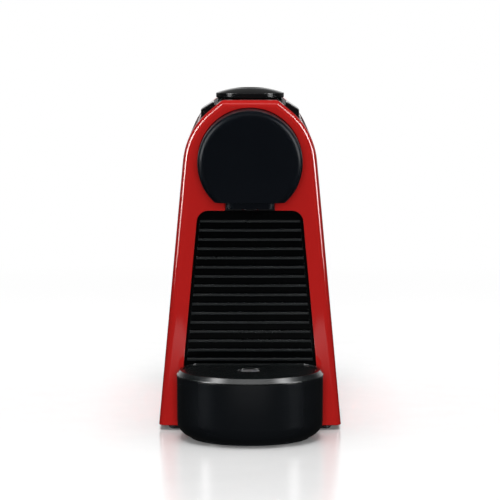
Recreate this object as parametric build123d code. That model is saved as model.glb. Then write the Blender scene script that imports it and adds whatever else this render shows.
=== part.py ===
from build123d import *
import os
from math import atan, cos, sin, pi, radians, sqrt

# Pod coffee machine: a tapered arch body with a round head cap over a round drip tray, a ribbed
# capsule container that slides out at the front, a lever on top that drives the capsule cage, and a
# lift-off water tank behind.
# Millimetres. +Z is up, -Y is the front. The origin is on the surface that the machine stands on,
# in the middle of its width and of its whole depth.

# ---- overall sizes ----
WIDTH = 110.0            # across the outer cover at its foot
DEPTH = 325.0            # front of the drip tray to the back of the tank dock
BODY_TOP = 198.75        # flat top of the outer cover
BODY_DEPTH = 188.0       # face to back of the outer cover

# ---- outer cover ----
COVER_BOTTOM = 2.8
COVER_WALL = 2.5
SIDE_LEAN = atan(0.0925)
TOP_HALF = 16.7          # half-width of the flat top
SHOULDER_SLOPE = radians(39.7)
SHOULDER_ROUND = 43.0
TOP_CORNER_ROUND = 4.0
FACE_ROUND = 4.5

# ---- drip tray ----
TRAY_R = 43.5
TRAY_REACH = 25.0        # tray centre in front of the face
TRAY_TOP = 40.6
SUPPORT_T = 3.45
SUPPORT_SLOPE = 2.0      # how far its sloping edge leans in
TRAY_WALL = 2.0
TRAY_FOOT_R = 35.3
TRAY_ROUND = 9.0
DRAIN_R = 5.75

# ---- head ----
HEAD_DROP = 35.75        # head centre below the flat top
HEAD_R = 30.9
HEAD_REACH = 37.0
HEAD_WALL = 2.2
HEAD_ROUND = 4.5
CHORD_DROP = 23.0        # flat cut below the head centre
SPOUT_HALF = 14.5
SPOUT_T = 3.8
NOZZLE_R = 4.75
NOZZLE_BORE_R = 2.8

# ---- capsule container and its ribbed front ----
GRILLE_INSET = 11.6      # opening edge inside the body's side
GRILLE_DROP = 30.3       # top of the opening below the head centre
OPENING_BOTTOM = 9.0
OPENING_CORNER = 7.0
RIDGE_COUNT = 16
RIDGE_T = 1.6
RIDGE_PITCH = 5.57
RIDGE_FIRST_DROP = 6.4   # first ridge below the top of the opening
FRAME_RIM = 1.4
CONTAINER_WALL = 1.6
CONTAINER_LENGTH = 56.0

# ---- brewing unit ----
CAGE_R = 21.0
CAGE_LENGTH = 31.5
CAGE_BORE_R = 16.0
SIDE_PLATE_T = 2.5
PIN_SWING_R = 25.0       # lever axle to crank pin
LEVER_TRAVEL = radians(75)
AXLE_R = 3.0
PIN_R = 2.5
PIN_PLAY = 0.6           # each side of the crank pin in its slot
PIPE_R = 2.1
ARM_IN = 16.5
ARM_T = 3.0

# ---- lever pad and buttons ----
PAD_R = 20.6
PAD_CROWN = 7.1          # top of the pad above the flat top
PAD_DOME = 3.6
DISH_DEPTH = 1.5
DISH_SPHERE_R = 46.0
BUTTON_IN = 21.6
BUTTON_OUT = 29.5
BUTTON_LENGTH = 28.0
BUTTON_TRAVEL = 1.2

# ---- tank ----
TANK_GAP = 2.5
TANK_WALL = 2.2
TANK_ROUND = 7.0
LID_HEIGHT = 20.6        # lid seam below the flat top
NECK_R = 7.0
HINGE_R = 2.0
HINGE_PIN_R = 0.9
DOCK_TOP = 16.0

# ---- inner parts ----
BASE_TOP = 5.0
DECK_T = 2.5
PUMP_R = 11.0
HOSE_R = 3.0
SCREW_R = 1.4
SCREW_HEAD_R = 2.8
SCREW_HEAD_T = 1.6

# ---- clearances ----
GAP = 0.3                # between separate bodies
FIT = 0.4                # round a panel in its opening
RUNNING = 0.05           # radial, shaft in bore

# ---- places that follow from these ----
TRAY_Y = -DEPTH / 2 + TRAY_R
FACE_Y = TRAY_Y + TRAY_REACH
FACE_BACK = FACE_Y + COVER_WALL
BODY_BACK = FACE_Y + BODY_DEPTH
BACK_Y = DEPTH / 2
HEAD_Z = BODY_TOP - HEAD_DROP
CHORD_Z = HEAD_Z - CHORD_DROP
SPOUT_BOTTOM = CHORD_Z - SPOUT_T
GRILLE_TOP = HEAD_Z - GRILLE_DROP
DECK_TOP = HEAD_Z - 26.5
DECK_UNDER = DECK_TOP - DECK_T
BREW_Z = HEAD_Z - 1.0
PLATE_Y = FACE_Y + 10.0                  # rear face of the extraction plate
CAGE_FRONT = PLATE_Y + 0.6
CAGE_BACK = CAGE_FRONT + CAGE_LENGTH
PIVOT_Y = FACE_Y + 111.0
PIVOT_Z = BREW_Z - 12.0
PIN_LEAN = LEVER_TRAVEL / 2
CAGE_TRAVEL = 2 * PIN_SWING_R * sin(PIN_LEAN)
PIN_Y = PIVOT_Y - PIN_SWING_R * sin(PIN_LEAN)
PIN_Z = PIVOT_Z + PIN_SWING_R * cos(PIN_LEAN)
PAD_Y = FACE_Y + 31.7
TOP_COVER_Y = (FACE_Y + 8.0, FACE_Y + 150.0)
TOP_COVER_HALF = 31.0
TANK_FRONT = BODY_BACK + TANK_GAP
TANK_BACK = BACK_Y - 2.6
LID_SEAM = BODY_TOP - LID_HEIGHT
HINGE_Y = BACK_Y - 0.2 - HINGE_R
TANK_Y = TANK_FRONT + 32.0               # valve axis
PANEL_FRONT = FACE_Y + 0.6
PANEL_BACK = PANEL_FRONT + 5.4
BULKHEAD_Y = PANEL_BACK + CONTAINER_LENGTH + 2.5
REAR_WALL_Y = BODY_BACK - 2.8
TRAY_BACK = FACE_Y - GAP

PARTS = {}


def block(x0, x1, y0, y1, z0, z1):
    return Pos((x0 + x1) / 2, (y0 + y1) / 2, (z0 + z1) / 2) * Box(x1 - x0, y1 - y0, z1 - z0)


def rod_x(r, x0, x1, y, z):
    return Pos((x0 + x1) / 2, y, z) * Rot(0, 90, 0) * Cylinder(r, x1 - x0)


def rod_y(r, y0, y1, x, z):
    return Pos(x, (y0 + y1) / 2, z) * Rot(90, 0, 0) * Cylinder(r, y1 - y0)


def rod_z(r, z0, z1, x, y):
    return Pos(x, y, (z0 + z1) / 2) * Cylinder(r, z1 - z0)


def along_y(sketch, y0, y1):
    """A profile drawn as (x, z), run from y0 to y1."""
    return extrude(Plane.XZ.offset(-y1) * sketch, y1 - y0)


def along_x(sketch, x0, x1):
    """A profile drawn as (y, z), run from x0 to x1."""
    return extrude(Plane.YZ.offset(x0) * sketch, x1 - x0)


def both_sides(shape):
    return shape + mirror(shape, about=Plane.YZ)


def polygon(*points):
    return make_face(Polyline(*points, close=True))


def edge_line(angle, x, z, inset):
    """A straight side of the body's outline, as its outward normal and distance."""
    return cos(angle), sin(angle), x * cos(angle) + z * sin(angle) - inset


def meet(first, second):
    a1, b1, c1 = first
    a2, b2, c2 = second
    det = a1 * b2 - a2 * b1
    return (c1 * b2 - c2 * b1) / det, (a1 * c2 - a2 * c1) / det


def side_line(inset):
    return edge_line(SIDE_LEAN, WIDTH / 2, COVER_BOTTOM, inset)


def rounded(face, corner, radius):
    """Rounds a corner of a profile and its mirror image."""
    x, z = corner
    picked = [v for v in face.vertices() if abs(abs(v.X) - x) < 0.01 and abs(v.Y - z) < 0.01]
    return fillet(picked, radius)


def arch(inset=0.0, bottom=COVER_BOTTOM):
    """The body's outline as (x, z), drawn inwards by inset."""
    side = side_line(inset)
    slope = edge_line(pi / 2 - SHOULDER_SLOPE, TOP_HALF, BODY_TOP, inset)
    foot = meet(side, edge_line(-pi / 2, 0, bottom, 0))
    shoulder = meet(side, slope)
    crown = meet(slope, edge_line(pi / 2, 0, BODY_TOP, inset))
    right = [foot, shoulder, crown]
    left = [(-x, z) for x, z in reversed(right)]
    face = polygon(*right, *left)
    face = rounded(face, shoulder, SHOULDER_ROUND - inset)
    return rounded(face, crown, max(TOP_CORNER_ROUND - inset, 0.5))


def tapered_panel(inset, bottom, top, corner=0.0):
    """A panel whose sides run parallel to the body's sides, drawn in from the grille opening."""
    side = side_line(GRILLE_INSET + inset)
    foot = meet(side, edge_line(-pi / 2, 0, bottom, 0))
    head = meet(side, edge_line(pi / 2, 0, top, 0))
    face = polygon(foot, head, (-head[0], head[1]), (-foot[0], foot[1]))
    if corner > 0:
        face = rounded(face, head, corner)
    return face


def inside_arch(shape, inset, bottom=0.0):
    """Keeps what lies inside the body's outline."""
    return shape & along_y(arch(inset, bottom), FACE_Y - 50, BACK_Y + 50)


def d_disc(r, back, z0, z1):
    """A disc round the tray centre, cut flat at the back."""
    return rod_z(r, z0, z1, 0, TRAY_Y) & block(-r, r, TRAY_Y - r, back, z0, z1)


def coil(x, y, z0, z1, r, wire_r, turns):
    """A compression spring on a vertical axis, between two heights."""
    height = z1 - z0 - 2 * wire_r
    path = Pos(x, y, z0 + wire_r) * Helix(height / turns, height, r)
    return sweep((path ^ 0) * Circle(wire_r), path=path)


def tube(points, bend, r, bore_r):
    """A bent pipe or hose along straight runs joined by arcs."""
    path = FilletPolyline(*points, radius=bend)
    return sweep((path ^ 0) * (Circle(r) - Circle(bore_r)), path=path)


def screw(x, y, z, length, up=1):
    """A pan-head screw: its head's outer face is at z, and its shank runs up or down."""
    z_head = sorted((z, z + up * SCREW_HEAD_T))
    z_shank = sorted((z + up * SCREW_HEAD_T, z + up * length))
    return rod_z(SCREW_HEAD_R, *z_head, x, y) + rod_z(SCREW_R, *z_shank, x, y)


# ---- where screws, pipes and wires pass, used by more than one piece ----
LOW_SCREWS = [(x, y) for y in (BULKHEAD_Y + 7.0, BODY_BACK + 8.0, BACK_Y - 16.0) for x in (-40, 40)]
FLANGE_SCREWS = [(x, y) for y in (FACE_Y + 40.0, FACE_Y + 116.0) for x in (-27.5, 27.5)]
CORD_X = -36.0
CORD_Z = 10.4
CORD_BORE_R = 3.4
GLAND_R = 4.8
DOCK_PORT_Z = 10.6
PORT_R = 2.6
PUMP_X = -14.0
PUMP_Y = PIVOT_Y - 3.0
RISER_Y = PUMP_Y + 50.0
METER_Y = REAR_WALL_Y - 23.0
METER_R = 13.0
HEATER_HALF = 24.0
HEATER_LOW = DECK_TOP + 4.0
HEATER_FRONT = PIVOT_Y + 27.0
HEATER_BACK = HEATER_FRONT + 40.0
BOARD_X = 29.5
BOARD_T = 1.6
FOOT_R = 5.5
FOOT_T = 1.4
FEET = [(x, y) for x in (14.5 - WIDTH / 2, WIDTH / 2 - 14.5) for y in (FACE_Y + 12, BACK_Y - 34)]


def outer_cover():
    """Moulded shell: a flat face with a rounded edge, two leaning sides and a sloping shoulder."""
    body = along_y(arch(), FACE_Y, BODY_BACK)
    face_edges = body.faces().sort_by(Axis.Y)[0].edges()
    rim = [e for e in face_edges if e.center().Z > COVER_BOTTOM + 1]
    body = fillet(rim, FACE_ROUND)
    body -= along_y(arch(COVER_WALL, bottom=-10), FACE_BACK, BODY_BACK + 10)
    through = (FACE_Y - 1, FACE_BACK + 1)
    head_hole = Pos(0, HEAD_Z) * Circle(HEAD_R + FIT)
    above = Pos(0, CHORD_Z - FIT + HEAD_R) * Rectangle(4 * HEAD_R, 2 * HEAD_R)
    body -= along_y(head_hole & above, *through)
    notch_half = SPOUT_HALF + FIT
    body -= block(-notch_half, notch_half, *through, GRILLE_TOP - 1, CHORD_Z + 1)
    body -= along_y(tapered_panel(0, OPENING_BOTTOM, GRILLE_TOP, OPENING_CORNER), *through)
    return body - block(-TOP_COVER_HALF, TOP_COVER_HALF, *TOP_COVER_Y, HEAD_Z + 12, BODY_TOP + 1)


def head_cap():
    """Round cap over the coffee outlet, held behind the face by a flange."""
    front = FACE_Y - HEAD_REACH
    cap = rod_y(HEAD_R, front, FACE_BACK + 0.2, 0, HEAD_Z)
    cap = fillet(cap.edges().sort_by(Axis.Y)[0], HEAD_ROUND)
    cap += rod_y(HEAD_R + 2.0, FACE_BACK + 0.2, FACE_BACK + 2.0, 0, HEAD_Z)
    size = HEAD_R + 5
    cap &= block(-size, size, front, FACE_BACK + 2.0, CHORD_Z, HEAD_Z + size)
    hollow = rod_y(HEAD_R - HEAD_WALL, front + HEAD_WALL + 0.6, FACE_BACK + 3, 0, HEAD_Z)
    hollow &= block(-size, size, front, FACE_BACK + 3, CHORD_Z + HEAD_WALL, HEAD_Z + size)
    cap -= hollow
    return cap - rod_z(NOZZLE_R, CHORD_Z - 1, CHORD_Z + 5, 0, TRAY_Y)


def spout_housing():
    """Block under the head cap that carries the nozzle and fills the notch in the face."""
    front = FACE_Y - HEAD_REACH + 5
    housing = block(-SPOUT_HALF, SPOUT_HALF, front, FACE_BACK - 0.4, SPOUT_BOTTOM, CHORD_Z)
    corners = housing.edges().filter_by(Axis.Z).group_by(Axis.Y)[0]
    housing = fillet(corners, 5)
    return housing - rod_z(NOZZLE_R, SPOUT_BOTTOM - 1, CHORD_Z + 1, 0, TRAY_Y)


def outlet_nozzle():
    nozzle = rod_z(NOZZLE_R, SPOUT_BOTTOM - 1.3, CHORD_Z + 3.9, 0, TRAY_Y)
    nozzle = fillet(nozzle.edges().sort_by(Axis.Z)[0], 0.6)
    return nozzle - rod_z(NOZZLE_BORE_R, SPOUT_BOTTOM - 2, CHORD_Z + 5, 0, TRAY_Y)


DUCT_BACK = PLATE_Y - 4.3


def coffee_duct():
    """Closed channel from the extraction plate forward to the nozzle."""
    low = CHORD_Z + HEAD_WALL + 0.2
    duct = block(-8, 8, TRAY_Y - 5.6, DUCT_BACK, low, low + 12)
    duct -= block(-6, 6, TRAY_Y - 3.6, DUCT_BACK - 2, low + 2, low + 10)
    duct -= rod_z(NOZZLE_R, low - 1, CHORD_Z + 3.9, 0, TRAY_Y)
    duct -= rod_z(NOZZLE_BORE_R, CHORD_Z, low + 5, 0, TRAY_Y)
    return duct - rod_y(3, DUCT_BACK - 3, DUCT_BACK + 1, 0, low + 6)


# ---- brewing unit ----
PLATE_IN = CAGE_R + 0.5
PLATE_OUT = PLATE_IN + SIDE_PLATE_T
SHOE_Y = (CAGE_BACK - 14.0, CAGE_BACK - 4.0)
SHOE_HALF = 2.0
SPACERS = [(PIVOT_Y + 11.0, PIVOT_Z - 9.0), (PIVOT_Y - 12.0, PIVOT_Z - 9.0)]
SPACER_R = 2.5
SPACER_END_R = 1.5
FLANGE_T = 2.2
CHEEK_HEIGHT = 18.5      # top of the cheek plates above the brewing axis


def brew_side(side):
    """Steel cheek plate with a foot flange, an axle hole and a straight guide slot."""
    low = DECK_TOP
    back = PIVOT_Y + 15.0
    top = BREW_Z + CHEEK_HEIGHT
    low_corners = [(DUCT_BACK, low), (back, low)]
    high_corners = [(back, PIVOT_Z + 12), (back - 24, top), (DUCT_BACK, top)]
    plate = along_x(polygon(*low_corners, *high_corners), PLATE_IN, PLATE_OUT)
    plate += block(PLATE_OUT, PLATE_OUT + 6.5, FACE_Y + 30, back, low, low + FLANGE_T)
    plate -= rod_x(AXLE_R, PLATE_IN - 1, PLATE_OUT + 1, PIVOT_Y, PIVOT_Z)
    slot_y = (SHOE_Y[0] - GAP, SHOE_Y[1] + CAGE_TRAVEL + GAP)
    slot_z = (BREW_Z - SHOE_HALF - GAP, BREW_Z + SHOE_HALF + GAP)
    plate -= block(PLATE_IN - 1, PLATE_OUT + 1, *slot_y, *slot_z)
    for y, z in SPACERS:
        plate -= rod_x(SPACER_END_R, PLATE_IN - 1, PLATE_OUT + 1, y, z)
    for x, y in FLANGE_SCREWS[1::2]:
        plate -= rod_z(SCREW_R, low - 1, low + 4, x, y)
    return plate if side > 0 else mirror(plate, about=Plane.YZ)


def frame_spacers():
    """Two stepped rods that hold the cheek plates apart."""
    rods = []
    for y, z in SPACERS:
        thick = rod_x(SPACER_R, -PLATE_IN, PLATE_IN, y, z)
        rods.append(thick + rod_x(SPACER_END_R, -PLATE_OUT - 1, PLATE_OUT + 1, y, z))
    return rods[0] + rods[1]


def extraction_plate():
    """Pierced plate that the foil end of a capsule bursts against."""
    half = PLATE_IN - 0.1
    step = PLATE_Y - 1.8
    plate = block(-half, half, DUCT_BACK, step, BREW_Z - 20.3, BREW_Z + 21.5)
    plate += rod_y(CAGE_BORE_R + 1, step, PLATE_Y, 0, BREW_Z)
    for ring, count in ((0, 1), (5, 6), (10, 12)):
        for i in range(count):
            angle = 2 * pi * i / count
            place = (ring * cos(angle), BREW_Z + ring * sin(angle))
            plate -= rod_y(0.7, PLATE_Y - 5, PLATE_Y + 1, *place)
    return plate


def capsule_cage():
    """Steel cup that closes over the capsule."""
    cage = rod_y(CAGE_R, CAGE_FRONT, CAGE_BACK, 0, BREW_Z)
    cage = chamfer(cage.edges().sort_by(Axis.Y)[0], 0.5)
    cage -= rod_y(CAGE_BORE_R, CAGE_FRONT - 1, CAGE_BACK - 3, 0, BREW_Z)
    cage -= seal_ring(CAGE_FRONT - 1)
    return cage - rod_y(PIPE_R + 0.2, CAGE_BACK - 4, CAGE_BACK + 1, 0, BREW_Z)


def seal_ring(front):
    """The ring in the cage's rim, and the groove that it sits in."""
    ring = rod_y(CAGE_R - 1, front, CAGE_FRONT + 2, 0, BREW_Z)
    return ring - rod_y(CAGE_BORE_R + 1.5, front - 1, CAGE_FRONT + 3, 0, BREW_Z)


def cage_seal():
    return seal_ring(CAGE_FRONT - 0.25)


def piercing_needles():
    """Three blades that cut the back of the capsule."""
    ring = 6.5
    blades = []
    for i in range(3):
        angle = 2 * pi * i / 3 + pi / 2
        place = Pos(ring * cos(angle), CAGE_BACK - 5.5, BREW_Z + ring * sin(angle))
        blades.append(place * Rot(90, 0, 0) * Cone(1.3, 0.25, 5))
    return blades[0] + blades[1:]


def slide_shoes():
    """Plastic shoes at the cage's sides that run in the cheek plates' slots."""
    shoe = block(CAGE_R - 1.5, PLATE_OUT, *SHOE_Y, BREW_Z - SHOE_HALF, BREW_Z + SHOE_HALF)
    shoe -= rod_y(CAGE_R, CAGE_FRONT, CAGE_BACK, 0, BREW_Z)
    return both_sides(shoe)


YOKE_IN = 11.0
YOKE_OUT = 15.0


def cage_carriage():
    """Yoke behind the cage: its upright slots take the lever's crank pins."""
    yoke = rod_y(20, CAGE_BACK, CAGE_BACK + 4, 0, BREW_Z)
    bar = block(YOKE_IN, YOKE_OUT, CAGE_BACK + 3, PIN_Y + 7, BREW_Z - 2, PIN_Z + 11)
    slot_half = PIN_R + PIN_PLAY
    slot_top = PIVOT_Z + PIN_SWING_R + GAP
    bar -= block(YOKE_IN - 1, YOKE_OUT + 1, PIN_Y - slot_half, PIN_Y + slot_half, PIN_Z - GAP, slot_top)
    bar -= rod_x(slot_half, YOKE_IN - 1, YOKE_OUT + 1, PIN_Y, PIN_Z - GAP)
    bar -= rod_x(slot_half, YOKE_IN - 1, YOKE_OUT + 1, PIN_Y, slot_top)
    yoke += both_sides(bar)
    yoke += rod_y(4.2, CAGE_BACK + 3, CAGE_BACK + 44, 0, BREW_Z)
    return yoke - rod_y(PIPE_R + RUNNING, CAGE_BACK - 1, CAGE_BACK + 45, 0, BREW_Z)


ARM_OUT = ARM_IN + ARM_T
ARM_HUB_R = 6.5
PLATE_LOW = BODY_TOP + 0.55
PLATE_TOP = PLATE_LOW + 2.0
BRIDGE_TOP = PLATE_LOW + 2.3
BRIDGE_BACK = FACE_Y + 70.0
BRIDGE_FRONT = BRIDGE_BACK - 28.0
ARM_TOP_Y = FACE_Y + 57.7                # where the arm's centre line meets the plate


def lever_plate(low):
    """The flat plate that the pad is moulded over, wide at the back and narrow under the pad."""
    plate = block(-ARM_OUT, ARM_OUT, BRIDGE_FRONT, BRIDGE_BACK, low, PLATE_TOP)
    return plate + block(-15, 15, PAD_Y - 14, BRIDGE_FRONT, low, PLATE_TOP)


def lever():
    """Lever frame: a plate under the pad, and two arms that reach down to the axle."""
    run = PIVOT_Y - ARM_TOP_Y
    rise = PLATE_LOW - PIVOT_Z
    length = sqrt(run * run + rise * rise)
    half = 4.5
    dy = half * rise / length
    dz = half * run / length
    reach = 1.1
    tip_y = PIVOT_Y - run * reach
    tip_z = PIVOT_Z + rise * reach
    hub_end = [(PIVOT_Y - dy, PIVOT_Z - dz), (PIVOT_Y + dy, PIVOT_Z + dz)]
    tip_end = [(tip_y + dy, tip_z + dz), (tip_y - dy, tip_z - dz)]
    arm = along_x(polygon(*hub_end, *tip_end), ARM_IN, ARM_OUT)
    arm &= block(0, 50, FACE_Y, BODY_BACK, 0, PLATE_TOP)
    arm += rod_x(PIN_R + 2.7, ARM_IN, ARM_OUT, PIN_Y, PIN_Z)
    arm += rod_x(ARM_HUB_R, ARM_IN - 0.5, PLATE_IN - 0.4, PIVOT_Y, PIVOT_Z)
    arm -= rod_x(AXLE_R + RUNNING, ARM_IN - 2, PLATE_IN, PIVOT_Y, PIVOT_Z)
    arm -= rod_x(PIN_R, ARM_IN - 2, PLATE_IN, PIN_Y, PIN_Z)
    plate = lever_plate(PLATE_LOW)
    bridge = block(-ARM_OUT, ARM_OUT, BRIDGE_FRONT, BRIDGE_BACK, PLATE_TOP, BRIDGE_TOP)
    bridge -= rod_z(PAD_R + GAP, PLATE_LOW, BRIDGE_TOP + 1, 0, PAD_Y)
    back_corners = bridge.edges().filter_by(Axis.Z).group_by(Axis.Y)[-1]
    bridge = fillet(back_corners, 4)
    return both_sides(arm) + plate + bridge


def crank_pins():
    return both_sides(rod_x(PIN_R, YOKE_IN - 0.2, ARM_OUT, PIN_Y, PIN_Z))


def lever_axle():
    """Steel axle, riveted over outside both cheek plates."""
    head = rod_x(AXLE_R + 1.5, PLATE_OUT, PLATE_OUT + 1.2, PIVOT_Y, PIVOT_Z)
    return rod_x(AXLE_R, -PLATE_OUT, PLATE_OUT, PIVOT_Y, PIVOT_Z) + both_sides(head)


def lever_pad():
    """Domed disc with a thumb dish, moulded over the lever's plate."""
    crown = BODY_TOP + PAD_CROWN
    dome_r = (PAD_R ** 2 + PAD_DOME ** 2) / (2 * PAD_DOME)
    dome = Pos(0, PAD_Y, crown - dome_r) * Sphere(dome_r)
    pad = rod_z(PAD_R, PLATE_LOW, crown + 1, 0, PAD_Y) & dome
    rims = pad.edges().filter_by(GeomType.CIRCLE)
    pad = fillet([e for e in rims if abs(e.radius - PAD_R) < 0.01][-1:], 0.8)
    pad -= Pos(0, PAD_Y - 1.5, crown - DISH_DEPTH + DISH_SPHERE_R) * Sphere(DISH_SPHERE_R)
    return pad - lever_plate(PLATE_LOW - 1)


# ---- top cover and buttons ----
BUTTON_Y = (TOP_COVER_Y[0] + 2.0, TOP_COVER_Y[0] + 2.0 + BUTTON_LENGTH)
BUTTON_MID = (BUTTON_Y[0] + BUTTON_Y[1]) / 2
STEM_X = PLATE_OUT + 1.7
LEDGE_TOP = BODY_TOP - 16.3
SWITCH_TOP = LEDGE_TOP - 1.5 - 2.0
STEM_BOTTOM = SWITCH_TOP + BUTTON_TRAVEL + 0.2
BUTTON_UNDER = LEDGE_TOP + 7.0
STEM_R = 1.4
BOARD_DROP = 3.6         # switch strip below the top of its switch
SLOT_Y = (PLATE_Y, CAGE_FRONT + CAGE_TRAVEL - 0.3)
SLOT_HALF = 19.5


def top_cover():
    """Black insert in the top: capsule slot, two slots for the lever's arms, button wells."""
    y0 = TOP_COVER_Y[0] + GAP
    y1 = TOP_COVER_Y[1] - GAP
    half = TOP_COVER_HALF - GAP
    low = LEDGE_TOP - 1.5
    lip_inset = COVER_WALL + 1.8
    cover = along_y(arch(0.2) - arch(lip_inset), y0, y1)
    cover &= block(-half, half, y0, y1, low, BODY_TOP + 1)
    side = along_y(arch(COVER_WALL + GAP) - arch(lip_inset), y0, y1)
    side &= block(PLATE_OUT + 0.7, 50, y0, y1, low, BODY_TOP)
    ledge = block(PLATE_OUT - 1, 50, *BUTTON_Y, low, LEDGE_TOP)
    ledge = inside_arch(ledge, COVER_WALL + GAP)
    post_z = (SWITCH_TOP - BOARD_DROP, low + 0.5)
    post_x = BUTTON_OUT - 0.5
    post = rod_z(1.3, *post_z, post_x, BUTTON_Y[0] + 2)
    post += rod_z(1.3, *post_z, post_x, BUTTON_Y[1] - 2)
    cover -= block(-SLOT_HALF, SLOT_HALF, *SLOT_Y, low - 1, BODY_TOP + 1)
    arm_slot_y = (SLOT_Y[1] + 3.5, PIVOT_Y + 34)
    cover -= both_sides(block(ARM_IN - 0.5, ARM_OUT + 0.5, *arm_slot_y, low - 1, BODY_TOP + 1))
    window_y = (BUTTON_Y[0] - FIT, BUTTON_Y[1] + FIT)
    window_out = BUTTON_OUT + FIT
    cover -= both_sides(block(BUTTON_IN - 0.6, window_out, *window_y, low + 1, BODY_TOP + 1))
    side -= block(0, window_out, *window_y, LEDGE_TOP, BODY_TOP)
    ledge -= rod_z(STEM_R + 0.3, low - 1, LEDGE_TOP + 1, STEM_X, BUTTON_MID)
    return cover + both_sides(side + ledge + post)


def button(side):
    """Shoulder button: a cap over a stem that reaches down to its switch."""
    top_in = BODY_TOP - 0.8
    top_out = BODY_TOP - 5.85
    inner_side = [(BUTTON_IN, BUTTON_UNDER + 2), (BUTTON_IN, top_in)]
    outer_side = [(BUTTON_OUT, top_out), (BUTTON_OUT, BUTTON_UNDER - 2.5)]
    cap = along_y(polygon(*inner_side, *outer_side), *BUTTON_Y)
    top_face = cap.faces().sort_by(Axis((0, 0, 0), (0.54, 0, 0.84)))[-1]
    cap = fillet(top_face.edges(), 0.9)
    wall = 1.4
    near = BUTTON_IN + wall
    far = BUTTON_OUT - wall
    hollow = polygon((near, 0), (near, top_in - 2.6), (far, top_out - wall), (far, 0))
    cap -= along_y(hollow, BUTTON_Y[0] + wall, BUTTON_Y[1] - wall)
    cap += rod_z(STEM_R, STEM_BOTTOM, top_out - 1, STEM_X, BUTTON_MID)
    boss = rod_z(3.4, BUTTON_UNDER, top_out - 0.6, STEM_X, BUTTON_MID)
    cap += boss & block(BUTTON_IN + 0.5, BUTTON_OUT - 0.5, *BUTTON_Y, 0, BODY_TOP)
    return cap if side > 0 else mirror(cap, about=Plane.YZ)


def button_spring(side):
    return coil(side * STEM_X, BUTTON_MID, LEDGE_TOP + 0.02, BUTTON_UNDER - 0.02, 2.1, 0.2, 6)


def button_switches():
    """Narrow circuit strips under the buttons, each with its push switch."""
    board_top = SWITCH_TOP - BOARD_DROP
    strip = block(PLATE_OUT + 0.7, BUTTON_OUT + 3.5, *BUTTON_Y, board_top - 1.6, board_top)
    switch_y = (BUTTON_MID - 3, BUTTON_MID + 3)
    strip += block(STEM_X - 1.6, STEM_X + 3.5, *switch_y, board_top, SWITCH_TOP - 1)
    strip += rod_z(STEM_R, SWITCH_TOP - 1, SWITCH_TOP, STEM_X, BUTTON_MID)
    return both_sides(strip)


# ---- frame ----
CHUTE_Y = (PLATE_Y - 1.5, CAGE_FRONT + CAGE_TRAVEL + 5)
CHUTE_HALF = 21.5


def inner_chassis():
    """Moulded inner frame: a bulkhead behind the container and a deck for the brewing unit."""
    inset = COVER_WALL + FIT
    wall = along_y(arch(inset, BASE_TOP), BULKHEAD_Y, BULKHEAD_Y + 2.5)
    wall &= block(-WIDTH, WIDTH, BULKHEAD_Y, BULKHEAD_Y + 3, 0, DECK_TOP)
    deck = along_y(arch(inset, DECK_UNDER), FACE_BACK + 2.5, REAR_WALL_Y)
    deck &= block(-WIDTH, WIDTH, FACE_Y, BODY_BACK, DECK_UNDER, DECK_TOP)
    foot = block(-47, 47, BULKHEAD_Y + 2.5, BULKHEAD_Y + 12, BASE_TOP, BASE_TOP + 3)
    chassis = wall + deck + foot
    chassis -= block(-CHUTE_HALF, CHUTE_HALF, *CHUTE_Y, DECK_UNDER - 1, DECK_TOP + 1)
    chassis += capsule_chute()
    chassis -= rod_z(4, DECK_UNDER - 1, DECK_TOP + 1, PUMP_X, RISER_Y)
    chassis -= block(31, 39, RISER_Y - 6, RISER_Y + 6, DECK_UNDER - 1, DECK_TOP + 1)
    for x, y in LOW_SCREWS[:2]:
        chassis -= rod_z(SCREW_R, BASE_TOP - 1, BASE_TOP + 4, x, y)
    for x, y in FLANGE_SCREWS:
        chassis -= rod_z(SCREW_R, DECK_UNDER - 1, DECK_TOP + 1, x, y)
    return chassis


def capsule_chute():
    """Square funnel under the deck that leads a spent capsule down into the container."""
    low = DECK_UNDER - 13.5
    wall = 1.3
    outside = block(-CHUTE_HALF, CHUTE_HALF, *CHUTE_Y, low, DECK_TOP)
    hollow_y = (CHUTE_Y[0] + wall, CHUTE_Y[1] - wall)
    return outside - block(-CHUTE_HALF + wall, CHUTE_HALF - wall, *hollow_y, low - 1, DECK_TOP + 1)


def rear_wall():
    """Closing panel at the back of the body, with vents and two ports."""
    wall = along_y(arch(COVER_WALL + FIT, BASE_TOP), REAR_WALL_Y, REAR_WALL_Y + 2.5)
    through = (REAR_WALL_Y - 1, REAR_WALL_Y + 4)
    wall -= rod_y(PORT_R + 0.6, *through, 0, DOCK_PORT_Z)
    wall -= rod_y(GLAND_R, *through, CORD_X, CORD_Z)
    for i in range(7):
        z = DECK_UNDER - 45 + 6 * i
        wall -= block(-18, 18, *through, z, z + 2.2)
    return wall


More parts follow.
